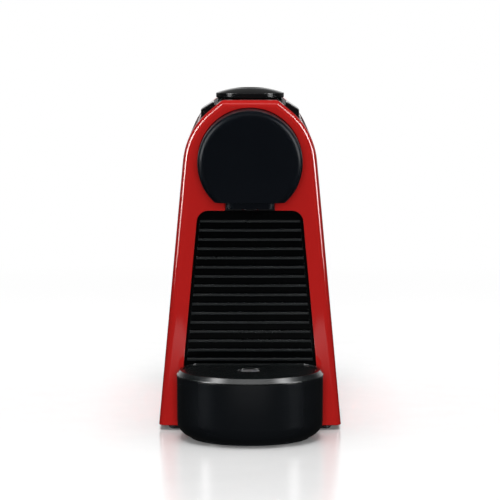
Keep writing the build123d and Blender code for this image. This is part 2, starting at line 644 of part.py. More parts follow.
def base_plate():
    """Floor of the machine: carries the frame, the container's rails and the tank dock."""
    inner = side_line(COVER_WALL + FIT)
    half = meet(inner, edge_line(-pi / 2, 0, COVER_BOTTOM, 0))[0] - 0.2
    foot_half = half - 2.6
    seam = COVER_BOTTOM - GAP
    low = block(-foot_half, foot_half, FACE_Y + 1.5, BACK_Y - 1, 0.6, seam)
    low = fillet(low.edges().filter_by(Axis.Z), 5)
    low = chamfer(low.faces().sort_by(Axis.Z)[0].edges(), 0.8)
    plate = low + block(-half, half, FACE_BACK + FIT, BODY_BACK - 0.2, seam, BASE_TOP)
    back = block(-foot_half, foot_half, BODY_BACK - 1, BACK_Y - 1, seam, BASE_TOP)
    plate += fillet(back.edges().filter_by(Axis.Z).group_by(Axis.Y)[-1], 5)
    rail = block(28, 32, PANEL_BACK + 1, BULKHEAD_Y - 3, BASE_TOP, OPENING_BOTTOM + 0.2)
    post = block(26, 32, PUMP_Y - 26, PUMP_Y - 22, BASE_TOP, BASE_TOP + 20)
    post += block(26, 32, PUMP_Y + 44, PUMP_Y + 48, BASE_TOP, BASE_TOP + 20)
    post -= block(BOARD_X, BOARD_X + BOARD_T, PUMP_Y - 40, PUMP_Y + 60, BASE_TOP + 5, BASE_TOP + 30)
    plate += both_sides(rail) + post
    for x, y in LOW_SCREWS:
        plate -= rod_z(SCREW_HEAD_R, 0, 2.4, x, y) + rod_z(SCREW_R, 0, BASE_TOP + 1, x, y)
    for x, y in FEET:
        plate -= rod_z(FOOT_R, 0, FOOT_T, x, y)
    return plate


def rubber_feet():
    feet = [rod_z(FOOT_R, 0, FOOT_T, x, y) for x, y in FEET]
    return feet[0] + feet[1:]


# ---- container and drip tray ----
TONGUE_HALF = 17.0
TONGUE_Z = (OPENING_BOTTOM + 1.8, OPENING_BOTTOM + 4.4)


def container_front():
    """Ribbed front panel of the capsule container: a thin rim round level ridges."""
    outline = tapered_panel(FIT, OPENING_BOTTOM + FIT, GRILLE_TOP - FIT, OPENING_CORNER - FIT)
    panel = along_y(outline, PANEL_FRONT, PANEL_BACK)
    first = GRILLE_TOP - RIDGE_FIRST_DROP
    last = first - RIDGE_PITCH * (RIDGE_COUNT - 1)
    field_top = first + RIDGE_T / 2
    rim = FIT + FRAME_RIM
    field = tapered_panel(rim, last - RIDGE_PITCH + RIDGE_T, field_top)
    panel -= along_y(field, PANEL_FRONT - 1, PANEL_BACK - 1.5)
    for i in range(RIDGE_COUNT):
        middle = first - RIDGE_PITCH * i
        ridge = tapered_panel(rim, middle - RIDGE_T / 2, middle + RIDGE_T / 2)
        panel += along_y(ridge, PANEL_FRONT + 0.5, PANEL_BACK - 1.4)
    reach = TONGUE_HALF + 0.5
    slot_z = (TONGUE_Z[0] - FIT, TONGUE_Z[1] + FIT)
    return panel - block(-reach, reach, PANEL_FRONT - 1, PANEL_BACK + 1, *slot_z)


def capsule_container():
    """Open box for spent capsules, on two skids."""
    low = OPENING_BOTTOM + 6.0
    top = DECK_UNDER - 16.0
    back = PANEL_BACK + CONTAINER_LENGTH
    box = along_y(tapered_panel(1.8, low, top), PANEL_BACK, back)
    inner = tapered_panel(1.8 + CONTAINER_WALL, low + CONTAINER_WALL, top + 20)
    box -= along_y(inner, PANEL_BACK + CONTAINER_WALL, back - CONTAINER_WALL)
    return box + both_sides(block(26, 33, PANEL_BACK, back, OPENING_BOTTOM + 0.5, low))


def rim_sphere(z, extra):
    """A ball round the tray's rim: it rounds off the lower edge of what is cut from it."""
    return Pos(0, TRAY_Y, z) * Sphere(TRAY_R + extra)


def drip_base():
    """Round outer drum with a rolled lower edge and a flat back, hooked to the container."""
    rim_z = TRAY_TOP - SUPPORT_T - 0.2
    foot = (TRAY_FOOT_R, 0.4)
    roll_start = (TRAY_R - TRAY_ROUND + 2.4, 1.7)
    roll_end = (TRAY_R, 11.0)
    outline = Polyline((0, 0.4), foot, (TRAY_FOOT_R, roll_start[1]), roll_start)
    outline += ThreePointArc(roll_start, (TRAY_R - 1.9, 5.2), roll_end)
    outline += Polyline(roll_end, (TRAY_R, rim_z), (0, rim_z), (0, 0.4))
    drum = Pos(0, TRAY_Y, 0) * revolve(Plane.XZ * make_face(outline), Axis.Z)
    drum &= block(-TRAY_R, TRAY_R, TRAY_Y - TRAY_R, TRAY_BACK, 0, rim_z)
    hollow = d_disc(TRAY_R - TRAY_WALL, TRAY_BACK - TRAY_WALL, 5.0, rim_z + 1)
    drum -= hollow & rim_sphere(rim_z, 4.5)
    return drum + block(-TONGUE_HALF, TONGUE_HALF, TRAY_BACK - 1, PANEL_BACK + 26, *TONGUE_Z)


INNER_TRAY_R = TRAY_R - TRAY_WALL - 0.5
INNER_BACK = TRAY_BACK - TRAY_WALL - 0.5


def drip_tray():
    """Lift-out cup that catches the drips."""
    rim_z = TRAY_TOP - SUPPORT_T - 0.25
    wall = 1.6
    floor = 5.6
    tray = d_disc(INNER_TRAY_R, INNER_BACK, floor, rim_z) & rim_sphere(rim_z, 3.6)
    inner = d_disc(INNER_TRAY_R - wall, INNER_BACK - wall, floor + wall, rim_z + 1)
    return tray - (inner & rim_sphere(rim_z, 3.6 - wall))


def cup_support():
    """Dished disc that the cup stands on, with a skirt that centres it in the tray."""
    low = TRAY_TOP - SUPPORT_T
    band = low + 0.6
    slope = Cone(TRAY_R, TRAY_R - SUPPORT_SLOPE, TRAY_TOP - band)
    disc = rod_z(TRAY_R, low, band, 0, TRAY_Y) + Pos(0, TRAY_Y, (band + TRAY_TOP) / 2) * slope
    disc &= block(-TRAY_R, TRAY_R, TRAY_Y - TRAY_R, TRAY_BACK, low, TRAY_TOP)
    disc = fillet(disc.faces().sort_by(Axis.Z)[-1].edges(), 0.5)
    lip = 1.5
    recess_r = TRAY_R - SUPPORT_SLOPE - lip
    disc -= d_disc(recess_r, TRAY_BACK - lip, TRAY_TOP - 0.7, TRAY_TOP + 1)
    skirt_in = 1.9
    skirt_t = 1.4
    skirt = d_disc(INNER_TRAY_R - skirt_in, INNER_BACK - skirt_in, low - 4, low + 0.5)
    inside = skirt_in + skirt_t
    skirt -= d_disc(INNER_TRAY_R - inside, INNER_BACK - inside, low - 5, low + 1)
    disc += skirt
    disc -= rod_z(DRAIN_R, low - 1, TRAY_TOP + 1, 0, TRAY_Y)
    return disc - rod_z(DRAIN_R + 1.6, TRAY_TOP - 1.4, TRAY_TOP + 1, 0, TRAY_Y)


def drain_insert():
    """Polished dished disc with drain holes."""
    low = TRAY_TOP - SUPPORT_T
    insert = rod_z(DRAIN_R, low, TRAY_TOP - 0.9, 0, TRAY_Y)
    insert = fillet(insert.edges().sort_by(Axis.Z)[-1], 0.5)
    insert -= Pos(0, TRAY_Y, TRAY_TOP + 9.8) * Sphere(11.8)
    insert -= rod_z(DRAIN_R - 1, low - 1, low + 1.0, 0, TRAY_Y)
    ring = 2.8
    for i in range(6):
        angle = 2 * pi * i / 6
        insert -= rod_z(0.55, low - 1, TRAY_TOP, ring * cos(angle), TRAY_Y + ring * sin(angle))
    return insert


# ---- tank and dock ----
WELL_R = NECK_R + 1.5
WELL_FLOOR = 8.0
SEAT_Z = 11.6
SEAT_R = 3.0
NECK_BORE_R = 5.0
POPPET_LIFT = 2.5


def tank_dock():
    """Foot under the tank: valve well, water channel forward, and the cord's channel."""
    half = WIDTH / 2 - 5.6
    dock = block(-half, half, TANK_FRONT - 0.5, BACK_Y, BASE_TOP, DOCK_TOP)
    dock = fillet(dock.edges().filter_by(Axis.Z).group_by(Axis.Y)[-1], 6)
    dock = fillet(dock.faces().sort_by(Axis.Z)[-1].edges(), 0.8)
    dock += rod_y(PORT_R, REAR_WALL_Y - 3, TANK_FRONT, 0, DOCK_PORT_Z)
    dock -= rod_z(WELL_R, WELL_FLOOR, DOCK_TOP + 1, 0, TANK_Y)
    dock += rod_z(1.5, WELL_FLOOR - 0.5, SEAT_Z + POPPET_LIFT - GAP, 0, TANK_Y)
    dock -= rod_y(1.7, REAR_WALL_Y - 4, TANK_Y - 4, 0, DOCK_PORT_Z)
    dock -= rod_y(GLAND_R - 0.6, TANK_FRONT - 1, BACK_Y - 6.5, CORD_X, CORD_Z)
    dock -= rod_y(GLAND_R, BACK_Y - 6.5, BACK_Y + 1, CORD_X, CORD_Z)
    for x, y in LOW_SCREWS[2:]:
        dock -= rod_z(SCREW_R, BASE_TOP - 1, BASE_TOP + 6, x, y)
    return dock


def cord_gland():
    """Rubber bush that the mains lead leaves through."""
    gland = rod_y(GLAND_R, BACK_Y - 6.5, BACK_Y, CORD_X, CORD_Z)
    return gland - rod_y(CORD_BORE_R, BACK_Y - 7, BACK_Y + 1, CORD_X, CORD_Z)


def dock_seal():
    ring = rod_z(WELL_R, DOCK_TOP - 3, DOCK_TOP - 1, 0, TANK_Y)
    return ring - rod_z(NECK_R + RUNNING, 0, DOCK_TOP, 0, TANK_Y)


def tank_block(inset, front, back, low, corner):
    """The tank's arch-shaped outside or inside, rounded at the back."""
    shape = along_y(arch(inset, low), front, back)
    rim = [e for e in shape.faces().sort_by(Axis.Y)[-1].edges() if e.center().Z > low + 1]
    return fillet(rim, corner)


def hinge_barrel(r, x0, x1):
    return rod_x(r, x0, x1, HINGE_Y, LID_SEAM + 0.15)


KNUCKLE_HALF = 13.6
HINGE_HALF = 20.0
TANK_FLOOR = 2.5
TANK_INSET = 3.2         # how far the tank stands inside the body's outline


def tank_shell():
    """Outside and hollow of the tank with its lid still on."""
    low = DOCK_TOP + GAP
    outside = tank_block(TANK_INSET, TANK_FRONT, TANK_BACK, low, TANK_ROUND)
    ends = (TANK_FRONT + TANK_WALL, TANK_BACK - TANK_WALL)
    hollow = tank_block(TANK_INSET + TANK_WALL, *ends, low + TANK_FLOOR, TANK_ROUND - TANK_WALL)
    return outside, hollow


def water_tank():
    """Clear tank: open at the top, with a valve neck below."""
    outside, hollow = tank_shell()
    low = DOCK_TOP + GAP
    tank = outside & block(-WIDTH, WIDTH, TANK_FRONT, BACK_Y, low, LID_SEAM)
    tank -= hollow
    tank += both_sides(hinge_barrel(HINGE_R, KNUCKLE_HALF + 0.3, HINGE_HALF))
    tank -= hinge_barrel(HINGE_R + 0.3, -KNUCKLE_HALF - 0.3, KNUCKLE_HALF + 0.3)
    tank -= hinge_barrel(HINGE_PIN_R, -HINGE_HALF, HINGE_HALF)
    tank += rod_z(NECK_R, SEAT_Z - 1.6, low + TANK_FLOOR, 0, TANK_Y)
    tank -= rod_z(NECK_BORE_R, SEAT_Z, low + TANK_FLOOR + 0.5, 0, TANK_Y)
    return tank - rod_z(SEAT_R, 0, low, 0, TANK_Y)


def tank_lid():
    """Cap of the tank, hinged at the back, with a finger hollow at the front."""
    outside, hollow = tank_shell()
    lid = outside & block(-WIDTH, WIDTH, TANK_FRONT, BACK_Y, LID_SEAM + GAP, BODY_TOP)
    lid -= hollow
    lid += hinge_barrel(HINGE_R, -KNUCKLE_HALF, KNUCKLE_HALF)
    lid += block(-KNUCKLE_HALF, KNUCKLE_HALF, TANK_BACK - 1.5, HINGE_Y, LID_SEAM + 0.5, LID_SEAM + 2.1)
    gap = hinge_barrel(HINGE_R + 0.3, KNUCKLE_HALF, HINGE_HALF + 0.3)
    return lid - both_sides(gap) - hinge_barrel(HINGE_PIN_R + RUNNING, -KNUCKLE_HALF - 1, KNUCKLE_HALF + 1)


def lid_hinge_pin():
    return hinge_barrel(HINGE_PIN_R, -HINGE_HALF, HINGE_HALF)


FILTER_R = 8.0
FILTER_WALL = 1.2
VALVE_STEM_R = 1.2
FILTER_LOW = DOCK_TOP + GAP + TANK_FLOOR
FILTER_TOP = FILTER_LOW + 12.0


def tank_filter():
    """Pierced thimble over the valve neck; it guides the valve stem."""
    cup = rod_z(FILTER_R, FILTER_LOW, FILTER_TOP, 0, TANK_Y)
    cup -= rod_z(FILTER_R - FILTER_WALL, FILTER_LOW - 1, FILTER_TOP - FILTER_WALL, 0, TANK_Y)
    cup -= rod_z(VALVE_STEM_R + GAP, FILTER_TOP - 3, FILTER_TOP + 1, 0, TANK_Y)
    for i in range(8):
        middle = Pos(0, TANK_Y, FILTER_LOW + 5.5) * Rot(0, 0, 45 * i) * Pos(FILTER_R - 0.5, 0, 0)
        cup -= middle * Box(4, 1.6, 6)
    return cup


POPPET_LOW = SEAT_Z + POPPET_LIFT
POPPET_TOP = POPPET_LOW + 1.6


def tank_valve():
    """Valve disc and stem, held open by the dock's pin."""
    disc = rod_z(SEAT_R + 1.3, POPPET_LOW, POPPET_TOP, 0, TANK_Y)
    return disc + rod_z(VALVE_STEM_R, POPPET_LOW, FILTER_TOP + 2.0, 0, TANK_Y)


def tank_valve_spring():
    return coil(0, TANK_Y, POPPET_TOP + 0.02, FILTER_TOP - FILTER_WALL - 0.02, 3.0, 0.25, 6)


# ---- water system ----
PUMP_LOW = BASE_TOP + 15.0
PUMP_TUBE = (PUMP_LOW + 2, PUMP_LOW + 92)
COIL_Z = (PUMP_LOW + 27, PUMP_LOW + 67)
COIL_HALF = 18.0
HOSE_Z = BASE_TOP + 6.5
BORE_R = 9.0
PISTON_LOW = PUMP_TUBE[0] + 18
PISTON_TOP = PISTON_LOW + 34
PUMP_STROKE = 4.0
MOUNT_T = 4.0            # rubber ring round the pump
SPRING_TOP = PISTON_TOP + PUMP_STROKE + 16
FLOW_R = 1.5             # water way through the pump


def pump_body():
    """Tube of the vibration pump with its inlet and outlet nipples."""
    body = rod_z(PUMP_R, *PUMP_TUBE, PUMP_X, PUMP_Y)
    body += rod_z(HOSE_R, PUMP_LOW - 2, PUMP_TUBE[0], PUMP_X, PUMP_Y)
    body += rod_z(4.5, PUMP_TUBE[1], PUMP_TUBE[1] + 7, PUMP_X, PUMP_Y)
    body -= rod_z(BORE_R, PISTON_LOW - GAP, SPRING_TOP, PUMP_X, PUMP_Y)
    return body - rod_z(FLOW_R, PUMP_LOW - 3, PUMP_TUBE[1] + 8, PUMP_X, PUMP_Y)


def pump_piston():
    piston = rod_z(BORE_R - RUNNING, PISTON_LOW, PISTON_TOP, PUMP_X, PUMP_Y)
    return piston - rod_z(FLOW_R, PISTON_LOW - 1, PISTON_TOP + 1, PUMP_X, PUMP_Y)


def pump_spring():
    return coil(PUMP_X, PUMP_Y, PISTON_TOP + 0.02, SPRING_TOP - 0.02, 6.5, 0.6, 6)


def pump_coil():
    """Square moulded coil round the pump's tube, with its terminal block."""
    right = PUMP_X + COIL_HALF
    winding = block(PUMP_X - COIL_HALF, right, PUMP_Y - COIL_HALF, PUMP_Y + COIL_HALF, *COIL_Z)
    winding = fillet(winding.edges().filter_by(Axis.Z), 4)
    winding -= rod_z(PUMP_R, COIL_Z[0] - 1, COIL_Z[1] + 1, PUMP_X, PUMP_Y)
    terminal_z = (COIL_Z[0] + 8, COIL_Z[0] + 20)
    return winding + block(right, right + 5, PUMP_Y - 6, PUMP_Y + 6, *terminal_z)


def pump_yoke():
    """Steel U that closes the magnetic circuit round the coil."""
    sheet = 1.8
    left = PUMP_X - COIL_HALF
    yoke_z = (COIL_Z[0] - sheet, COIL_Z[1] + sheet)
    yoke = block(left - 2, PUMP_X + 16, PUMP_Y - 15, PUMP_Y + 15, *yoke_z)
    yoke -= block(left, PUMP_X + 50, PUMP_Y - 30, PUMP_Y + 30, *COIL_Z)
    return yoke - rod_z(PUMP_R, 0, BODY_TOP, PUMP_X, PUMP_Y)


def pump_mount():
    """Rubber ring that holds the pump in its cradle."""
    ring = rod_z(PUMP_R + MOUNT_T, PUMP_TUBE[0] + 4, PUMP_TUBE[0] + 14, PUMP_X, PUMP_Y)
    return ring - rod_z(PUMP_R, 0, BODY_TOP, PUMP_X, PUMP_Y)


def pump_cradle():
    """Bracket on two legs from the base plate."""
    z0 = PUMP_TUBE[0] + 5
    z1 = PUMP_TUBE[0] + 13
    half = 19.0
    leg = 3.0
    deep = (PUMP_Y - 17, PUMP_Y + 17)
    cradle = block(PUMP_X - half, PUMP_X + half, *deep, z0, z1)
    cradle -= rod_z(PUMP_R + MOUNT_T, 0, BODY_TOP, PUMP_X, PUMP_Y)
    cradle += block(PUMP_X - half, PUMP_X - half + leg, *deep, BASE_TOP, z1)
    return cradle + block(PUMP_X + half - leg, PUMP_X + half, *deep, BASE_TOP, z1)


def water_hoses():
    """Soft hose from the flow meter to the pump's lower end, and the sleeve behind the meter."""
    end_y = METER_Y - METER_R - 4
    points = ((PUMP_X, PUMP_Y, PUMP_LOW - 2), (PUMP_X, PUMP_Y, HOSE_Z), (PUMP_X, end_y, HOSE_Z))
    return tube(points, 4.5, HOSE_R, 1.8) + dock_sleeve()


def pressure_pipe():
    """Stiff pipe from the pump's upper end through the deck to the heater."""
    level = DECK_UNDER - 5.0
    start = (PUMP_X, PUMP_Y, PUMP_TUBE[1] + 7)
    turns = ((PUMP_X, PUMP_Y, level), (PUMP_X, RISER_Y, level))
    return tube((start, *turns, (PUMP_X, RISER_Y, HEATER_LOW)), 4.0, 2.0, 1.0)


def flow_meter():
    """Round housing with an inlet at the back and an outlet at the front."""
    low = BASE_TOP
    body = rod_z(METER_R, low, low + 15, PUMP_X, METER_Y)
    body -= rod_z(METER_R - 2, low + 2, low + 13, PUMP_X, METER_Y)
    body += rod_y(HOSE_R, METER_Y - METER_R - 4, METER_Y - METER_R + 1, PUMP_X, HOSE_Z)
    body -= rod_y(1.8, METER_Y - METER_R - 5, METER_Y - METER_R + 4, PUMP_X, HOSE_Z)
    inlet = block(PUMP_X, -PORT_R, METER_Y + METER_R + 1, METER_Y + METER_R + 6, low, DOCK_PORT_Z + 4)
    inlet += block(PUMP_X, PUMP_X + 8, METER_Y + METER_R - 3, METER_Y + METER_R + 6, low, DOCK_PORT_Z + 4)
    inlet -= rod_z(METER_R - 1, 0, 50, PUMP_X, METER_Y)
    return body + inlet + rod_z(0.8, low + 1, low + 14, PUMP_X, METER_Y)


def flow_meter_rotor():
    """Bladed rotor that the water turns."""
    low = BASE_TOP + 2 + GAP
    rotor = rod_z(2.5, low, low + 10.4, PUMP_X, METER_Y)
    for i in range(6):
        turned = Pos(PUMP_X, METER_Y, low + 5.2) * Rot(0, 0, 60 * i)
        rotor += turned * Pos(5.6, 0, 0) * Box(9.2, 1.0, 8)
    return rotor - rod_z(0.8 + RUNNING, 0, 50, PUMP_X, METER_Y)


def dock_sleeve():
    """Short sleeve between the dock's port and the flow meter's inlet."""
    sleeve = rod_y(PORT_R + 1.6, METER_Y + METER_R + 6, REAR_WALL_Y - 0.7, 0, DOCK_PORT_Z)
    sleeve -= rod_y(PORT_R, REAR_WALL_Y - 3, REAR_WALL_Y, 0, DOCK_PORT_Z)
    return sleeve - rod_y(1.7, 0, BACK_Y, 0, DOCK_PORT_Z)


def thermoblock():
    """Cast heater block on four feet, with ribs and a front port."""
    heater = block(-HEATER_HALF, HEATER_HALF, HEATER_FRONT, HEATER_BACK, HEATER_LOW, HEATER_LOW + 38)
    heater = fillet(heater.edges().filter_by(Axis.Y), 6)
    for i in range(5):
        y = HEATER_FRONT + 6 + 7 * i
        heater -= block(-30, 30, y, y + 2.5, HEATER_LOW + 35, HEATER_LOW + 40)
    for x in (-17, 17):
        heater += rod_z(3.5, DECK_TOP, HEATER_LOW + 1, x, HEATER_FRONT + 6)
        heater += rod_z(3.5, DECK_TOP, HEATER_LOW + 1, x, HEATER_BACK - 6)
    heater += rod_y(5, HEATER_FRONT - 4, HEATER_FRONT, 0, BREW_Z)
    heater -= rod_y(PIPE_R, HEATER_FRONT - 5, HEATER_FRONT + 6, 0, BREW_Z)
    return heater - rod_z(1.0, HEATER_LOW - 1, HEATER_LOW + 8, PUMP_X, RISER_Y)


def thermostats():
    """Temperature sensors clipped to the heater's side, each with its terminal blade."""
    cap_x = HEATER_HALF + 3
    middle = HEATER_LOW + 20
    sensors = []
    for y in (HEATER_FRONT + 11, HEATER_FRONT + 28):
        blade = block(cap_x, cap_x + 3, y - 1, y + 1, middle - 3, middle + 3)
        sensors.append(rod_x(5, HEATER_HALF, cap_x, y, middle) + blade)
    return sensors[0] + sensors[1]


def inlet_pipe():
    """Fixed pipe that the carriage's sleeve slides along as the cage moves."""
    pipe = rod_y(PIPE_R, CAGE_BACK + 38, HEATER_FRONT + 5, 0, BREW_Z)
    return pipe - rod_y(1.2, CAGE_BACK + 37, HEATER_FRONT + 6, 0, BREW_Z)


def main_board():
    return block(BOARD_X, BOARD_X + BOARD_T, PUMP_Y - 32, PUMP_Y + 48, BASE_TOP + 5, BASE_TOP + 95)


def board_components():
    """Transformer, relay, capacitors and connectors on the board's inner side."""
    face = BOARD_X
    z = BASE_TOP
    group = block(face - 18, face, PUMP_Y - 20, PUMP_Y + 2, z + 60, z + 84)
    group += block(face - 14, face, PUMP_Y + 10, PUMP_Y + 28, z + 62, z + 76)
    group += rod_x(5, face - 16, face, PUMP_Y + 36, z + 50)
    group += rod_x(4, face - 12, face, PUMP_Y + 36, z + 34)
    group += block(face - 10, face, PUMP_Y - 24, PUMP_Y - 8, z + 30, z + 36)
    group += block(face - 8, face, PUMP_Y + 20, PUMP_Y + 28, z + 14, z + 38)
    return group


def screws():
    """Screws up through the base plate, and down through the cheek plates' flanges."""
    top = DECK_TOP + FLANGE_T + SCREW_HEAD_T
    low = [screw(x, y, 0.8, 7) for x, y in LOW_SCREWS]
    high = [screw(x, y, top, 6, up=-1) for x, y in FLANGE_SCREWS]
    return low[0] + low[1:] + high


PARTS["outer_cover"] = outer_cover()
PARTS["head_cap"] = head_cap()
PARTS["spout_housing"] = spout_housing()
PARTS["outlet_nozzle"] = outlet_nozzle()
PARTS["coffee_duct"] = coffee_duct()
PARTS["brew_frame_right"] = brew_side(1)
PARTS["brew_frame_left"] = brew_side(-1)
PARTS["frame_spacers"] = frame_spacers()
PARTS["extraction_plate"] = extraction_plate()
PARTS["capsule_cage"] = capsule_cage()
PARTS["cage_seal"] = cage_seal()
PARTS["piercing_needles"] = piercing_needles()
PARTS["slide_shoes"] = slide_shoes()
PARTS["cage_carriage"] = cage_carriage()
PARTS["lever"] = lever()
PARTS["crank_pins"] = crank_pins()
PARTS["lever_axle"] = lever_axle()
PARTS["lever_pad"] = lever_pad()
PARTS["top_cover"] = top_cover()
PARTS["espresso_button"] = button(-1)
PARTS["lungo_button"] = button(1)
PARTS["espresso_spring"] = button_spring(-1)
PARTS["lungo_spring"] = button_spring(1)
PARTS["button_switches"] = button_switches()
PARTS["inner_chassis"] = inner_chassis()
PARTS["rear_wall"] = rear_wall()
PARTS["base_plate"] = base_plate()
PARTS["rubber_feet"] = rubber_feet()
PARTS["container_front"] = container_front()
PARTS["capsule_container"] = capsule_container()
PARTS["drip_base"] = drip_base()
PARTS["drip_tray"] = drip_tray()
PARTS["cup_support"] = cup_support()
PARTS["drain_insert"] = drain_insert()
PARTS["tank_dock"] = tank_dock()
PARTS["cord_gland"] = cord_gland()
PARTS["dock_seal"] = dock_seal()
PARTS["water_tank"] = water_tank()
PARTS["tank_lid"] = tank_lid()
PARTS["lid_hinge_pin"] = lid_hinge_pin()
PARTS["tank_filter"] = tank_filter()
PARTS["tank_valve"] = tank_valve()
PARTS["tank_valve_spring"] = tank_valve_spring()
PARTS["pump_body"] = pump_body()
PARTS["pump_piston"] = pump_piston()
PARTS["pump_spring"] = pump_spring()
PARTS["pump_coil"] = pump_coil()
PARTS["pump_yoke"] = pump_yoke()
PARTS["pump_mount"] = pump_mount()
PARTS["pump_cradle"] = pump_cradle()
PARTS["water_hoses"] = water_hoses()
PARTS["pressure_pipe"] = pressure_pipe()
PARTS["flow_meter"] = flow_meter()
PARTS["flow_meter_rotor"] = flow_meter_rotor()
PARTS["thermoblock"] = thermoblock()
PARTS["inlet_pipe"] = inlet_pipe()
PARTS["thermostats"] = thermostats()
PARTS["main_board"] = main_board()
PARTS["board_components"] = board_components()
PARTS["screws"] = screws()

os.makedirs("parts", exist_ok=True)
for name, shape in PARTS.items():
    export_step(shape, f"parts/{name}.step")
print(len(PARTS), "parts written")
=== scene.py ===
import bmesh
import bpy
from math import atan2, cos, pi, radians, sin
from mathutils import Matrix, Vector


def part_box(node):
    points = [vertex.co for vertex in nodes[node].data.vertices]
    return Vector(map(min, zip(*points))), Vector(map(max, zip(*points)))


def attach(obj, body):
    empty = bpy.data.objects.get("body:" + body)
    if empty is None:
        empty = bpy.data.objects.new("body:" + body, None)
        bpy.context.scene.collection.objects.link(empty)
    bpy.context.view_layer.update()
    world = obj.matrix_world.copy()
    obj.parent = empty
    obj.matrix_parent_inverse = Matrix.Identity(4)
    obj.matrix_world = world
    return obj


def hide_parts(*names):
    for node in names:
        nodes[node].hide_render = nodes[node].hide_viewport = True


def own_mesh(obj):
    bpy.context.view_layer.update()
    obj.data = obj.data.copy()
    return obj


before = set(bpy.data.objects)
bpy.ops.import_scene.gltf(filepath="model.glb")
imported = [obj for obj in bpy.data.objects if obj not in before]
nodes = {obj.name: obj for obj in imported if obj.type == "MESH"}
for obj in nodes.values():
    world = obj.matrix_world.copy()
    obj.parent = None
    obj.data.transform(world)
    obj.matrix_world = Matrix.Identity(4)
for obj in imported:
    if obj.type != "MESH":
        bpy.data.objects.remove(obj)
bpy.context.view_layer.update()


# ---- base plate and feet ----
# The floor of the machine is moulded in black plastic with a fine sparked texture, which hides scuffs.
# Four round rubber feet are pushed into shallow pockets in its underside.
def shader_group(name, inputs, outputs):
    """A node group for an effect that several finishes share."""
    tree = bpy.data.node_groups.new(name, "ShaderNodeTree")
    for label, value in inputs:
        socket = tree.interface.new_socket(label, in_out="INPUT", socket_type="NodeSocketFloat")
        socket.default_value = value
    for label, kind in outputs:
        tree.interface.new_socket(label, in_out="OUTPUT", socket_type=kind)
    return tree, tree.nodes.new("NodeGroupInput"), tree.nodes.new("NodeGroupOutput")


def add(tree, kind, settings=None, **inputs):
    """Adds a node; settings are its properties, and inputs are values or sockets to link from."""
    made = tree.nodes.new(kind)
    for key, value in (settings or {}).items():
        setattr(made, key, value)
    for key, value in inputs.items():
        socket = made.inputs[int(key[1:]) if key[0] == "i" and key[1:].isdigit() else key.replace("_", " ")]
        if isinstance(value, bpy.types.NodeSocket):
            tree.links.new(value, socket)
        else:
            socket.default_value = value
    return made


def spread(tree, value, low, high, to_low=0.0, to_high=1.0):
    """Stretches a value's range, held at both ends."""
    return add(tree, "ShaderNodeMapRange", i0=value, i1=low, i2=high, i3=to_low, i4=to_high).outputs[0]


def moulded_surface_group():
    """Moulded plastic: tool grain, slow tone changes, handling marks, and rounded, rubbed edges."""
    inputs = [("Grain Scale", 1500.0), ("Edge Radius", 0.0003)]
    outputs = [("Grain", "NodeSocketFloat"), ("Tone", "NodeSocketFloat"), ("Marks", "NodeSocketFloat"),
               ("Rub", "NodeSocketFloat"), ("Normal", "NodeSocketVector")]
    tree, given, out = shader_group("Moulded surface", inputs, outputs)
    place = add(tree, "ShaderNodeTexCoord").outputs["Object"]
    fine = add(tree, "ShaderNodeTexNoise", Vector=place, Scale=given.outputs["Grain Scale"], Detail=2.0)
    pits = add(tree, "ShaderNodeTexVoronoi", Vector=place, Scale=given.outputs["Grain Scale"])
    grain = add(tree, "ShaderNodeMath", {"operation": "MULTIPLY_ADD"},
                i0=pits.outputs["Distance"], i1=0.5, i2=fine.outputs[0])
    tone = add(tree, "ShaderNodeTexNoise", Vector=place, Scale=14.0, Detail=3.0)
    marks = add(tree, "ShaderNodeTexNoise", Vector=place, Scale=48.0, Detail=5.0, Distortion=0.6)
    edge = add(tree, "ShaderNodeBevel", {"samples": 4}, Radius=given.outputs["Edge Radius"])
    true_normal = add(tree, "ShaderNodeNewGeometry").outputs["Normal"]
    turn = add(tree, "ShaderNodeVectorMath", {"operation": "DOT_PRODUCT"}, i0=edge.outputs[0], i1=true_normal)
    rub = spread(tree, turn.outputs["Value"], 0.97, 0.72)
    patchy = add(tree, "ShaderNodeMath", {"operation": "MULTIPLY"}, i0=rub,
                 i1=spread(tree, marks.outputs[0], 0.4, 0.65))
    tree.links.new(grain.outputs[0], out.inputs["Grain"])
    tree.links.new(spread(tree, tone.outputs[0], 0.3, 0.7), out.inputs["Tone"])
    tree.links.new(spread(tree, marks.outputs[0], 0.3, 0.7), out.inputs["Marks"])
    tree.links.new(patchy.outputs[0], out.inputs["Rub"])
    tree.links.new(edge.outputs[0], out.inputs["Normal"])
    return tree


MOULDED_SURFACE = moulded_surface_group()


def plastic(name, colours, rubbed, roughness, grain, depth, edge=0.0003, **shader_values):
    """A moulded finish: two tones, the tone of rubbed edges, a roughness range, and its grain."""
    finish = bpy.data.materials.new(name)
    finish.use_nodes = True
    tree = finish.node_tree
    shader = tree.nodes["Principled BSDF"]
    skin = add(tree, "ShaderNodeGroup", {"node_tree": MOULDED_SURFACE}, Grain_Scale=grain, Edge_Radius=edge)
    tones = add(tree, "ShaderNodeMix", {"data_type": "RGBA"}, i0=skin.outputs["Tone"],
                i6=(*colours[0], 1), i7=(*colours[1], 1))
    worn = add(tree, "ShaderNodeMix", {"data_type": "RGBA"}, i0=skin.outputs["Rub"],
               i6=tones.outputs[2], i7=(*rubbed, 1))
    bump = add(tree, "ShaderNodeBump", Strength=1.0, Distance=depth, Height=skin.outputs["Grain"],
               Normal=skin.outputs["Normal"])
    tree.links.new(worn.outputs[2], shader.inputs["Base Color"])
    tree.links.new(spread(tree, skin.outputs["Marks"], 0.0, 1.0, *roughness), shader.inputs["Roughness"])
    tree.links.new(bump.outputs[0], shader.inputs["Normal"])
    for key, value in shader_values.items():
        shader.inputs[key.replace("_", " ")].default_value = value
    return finish


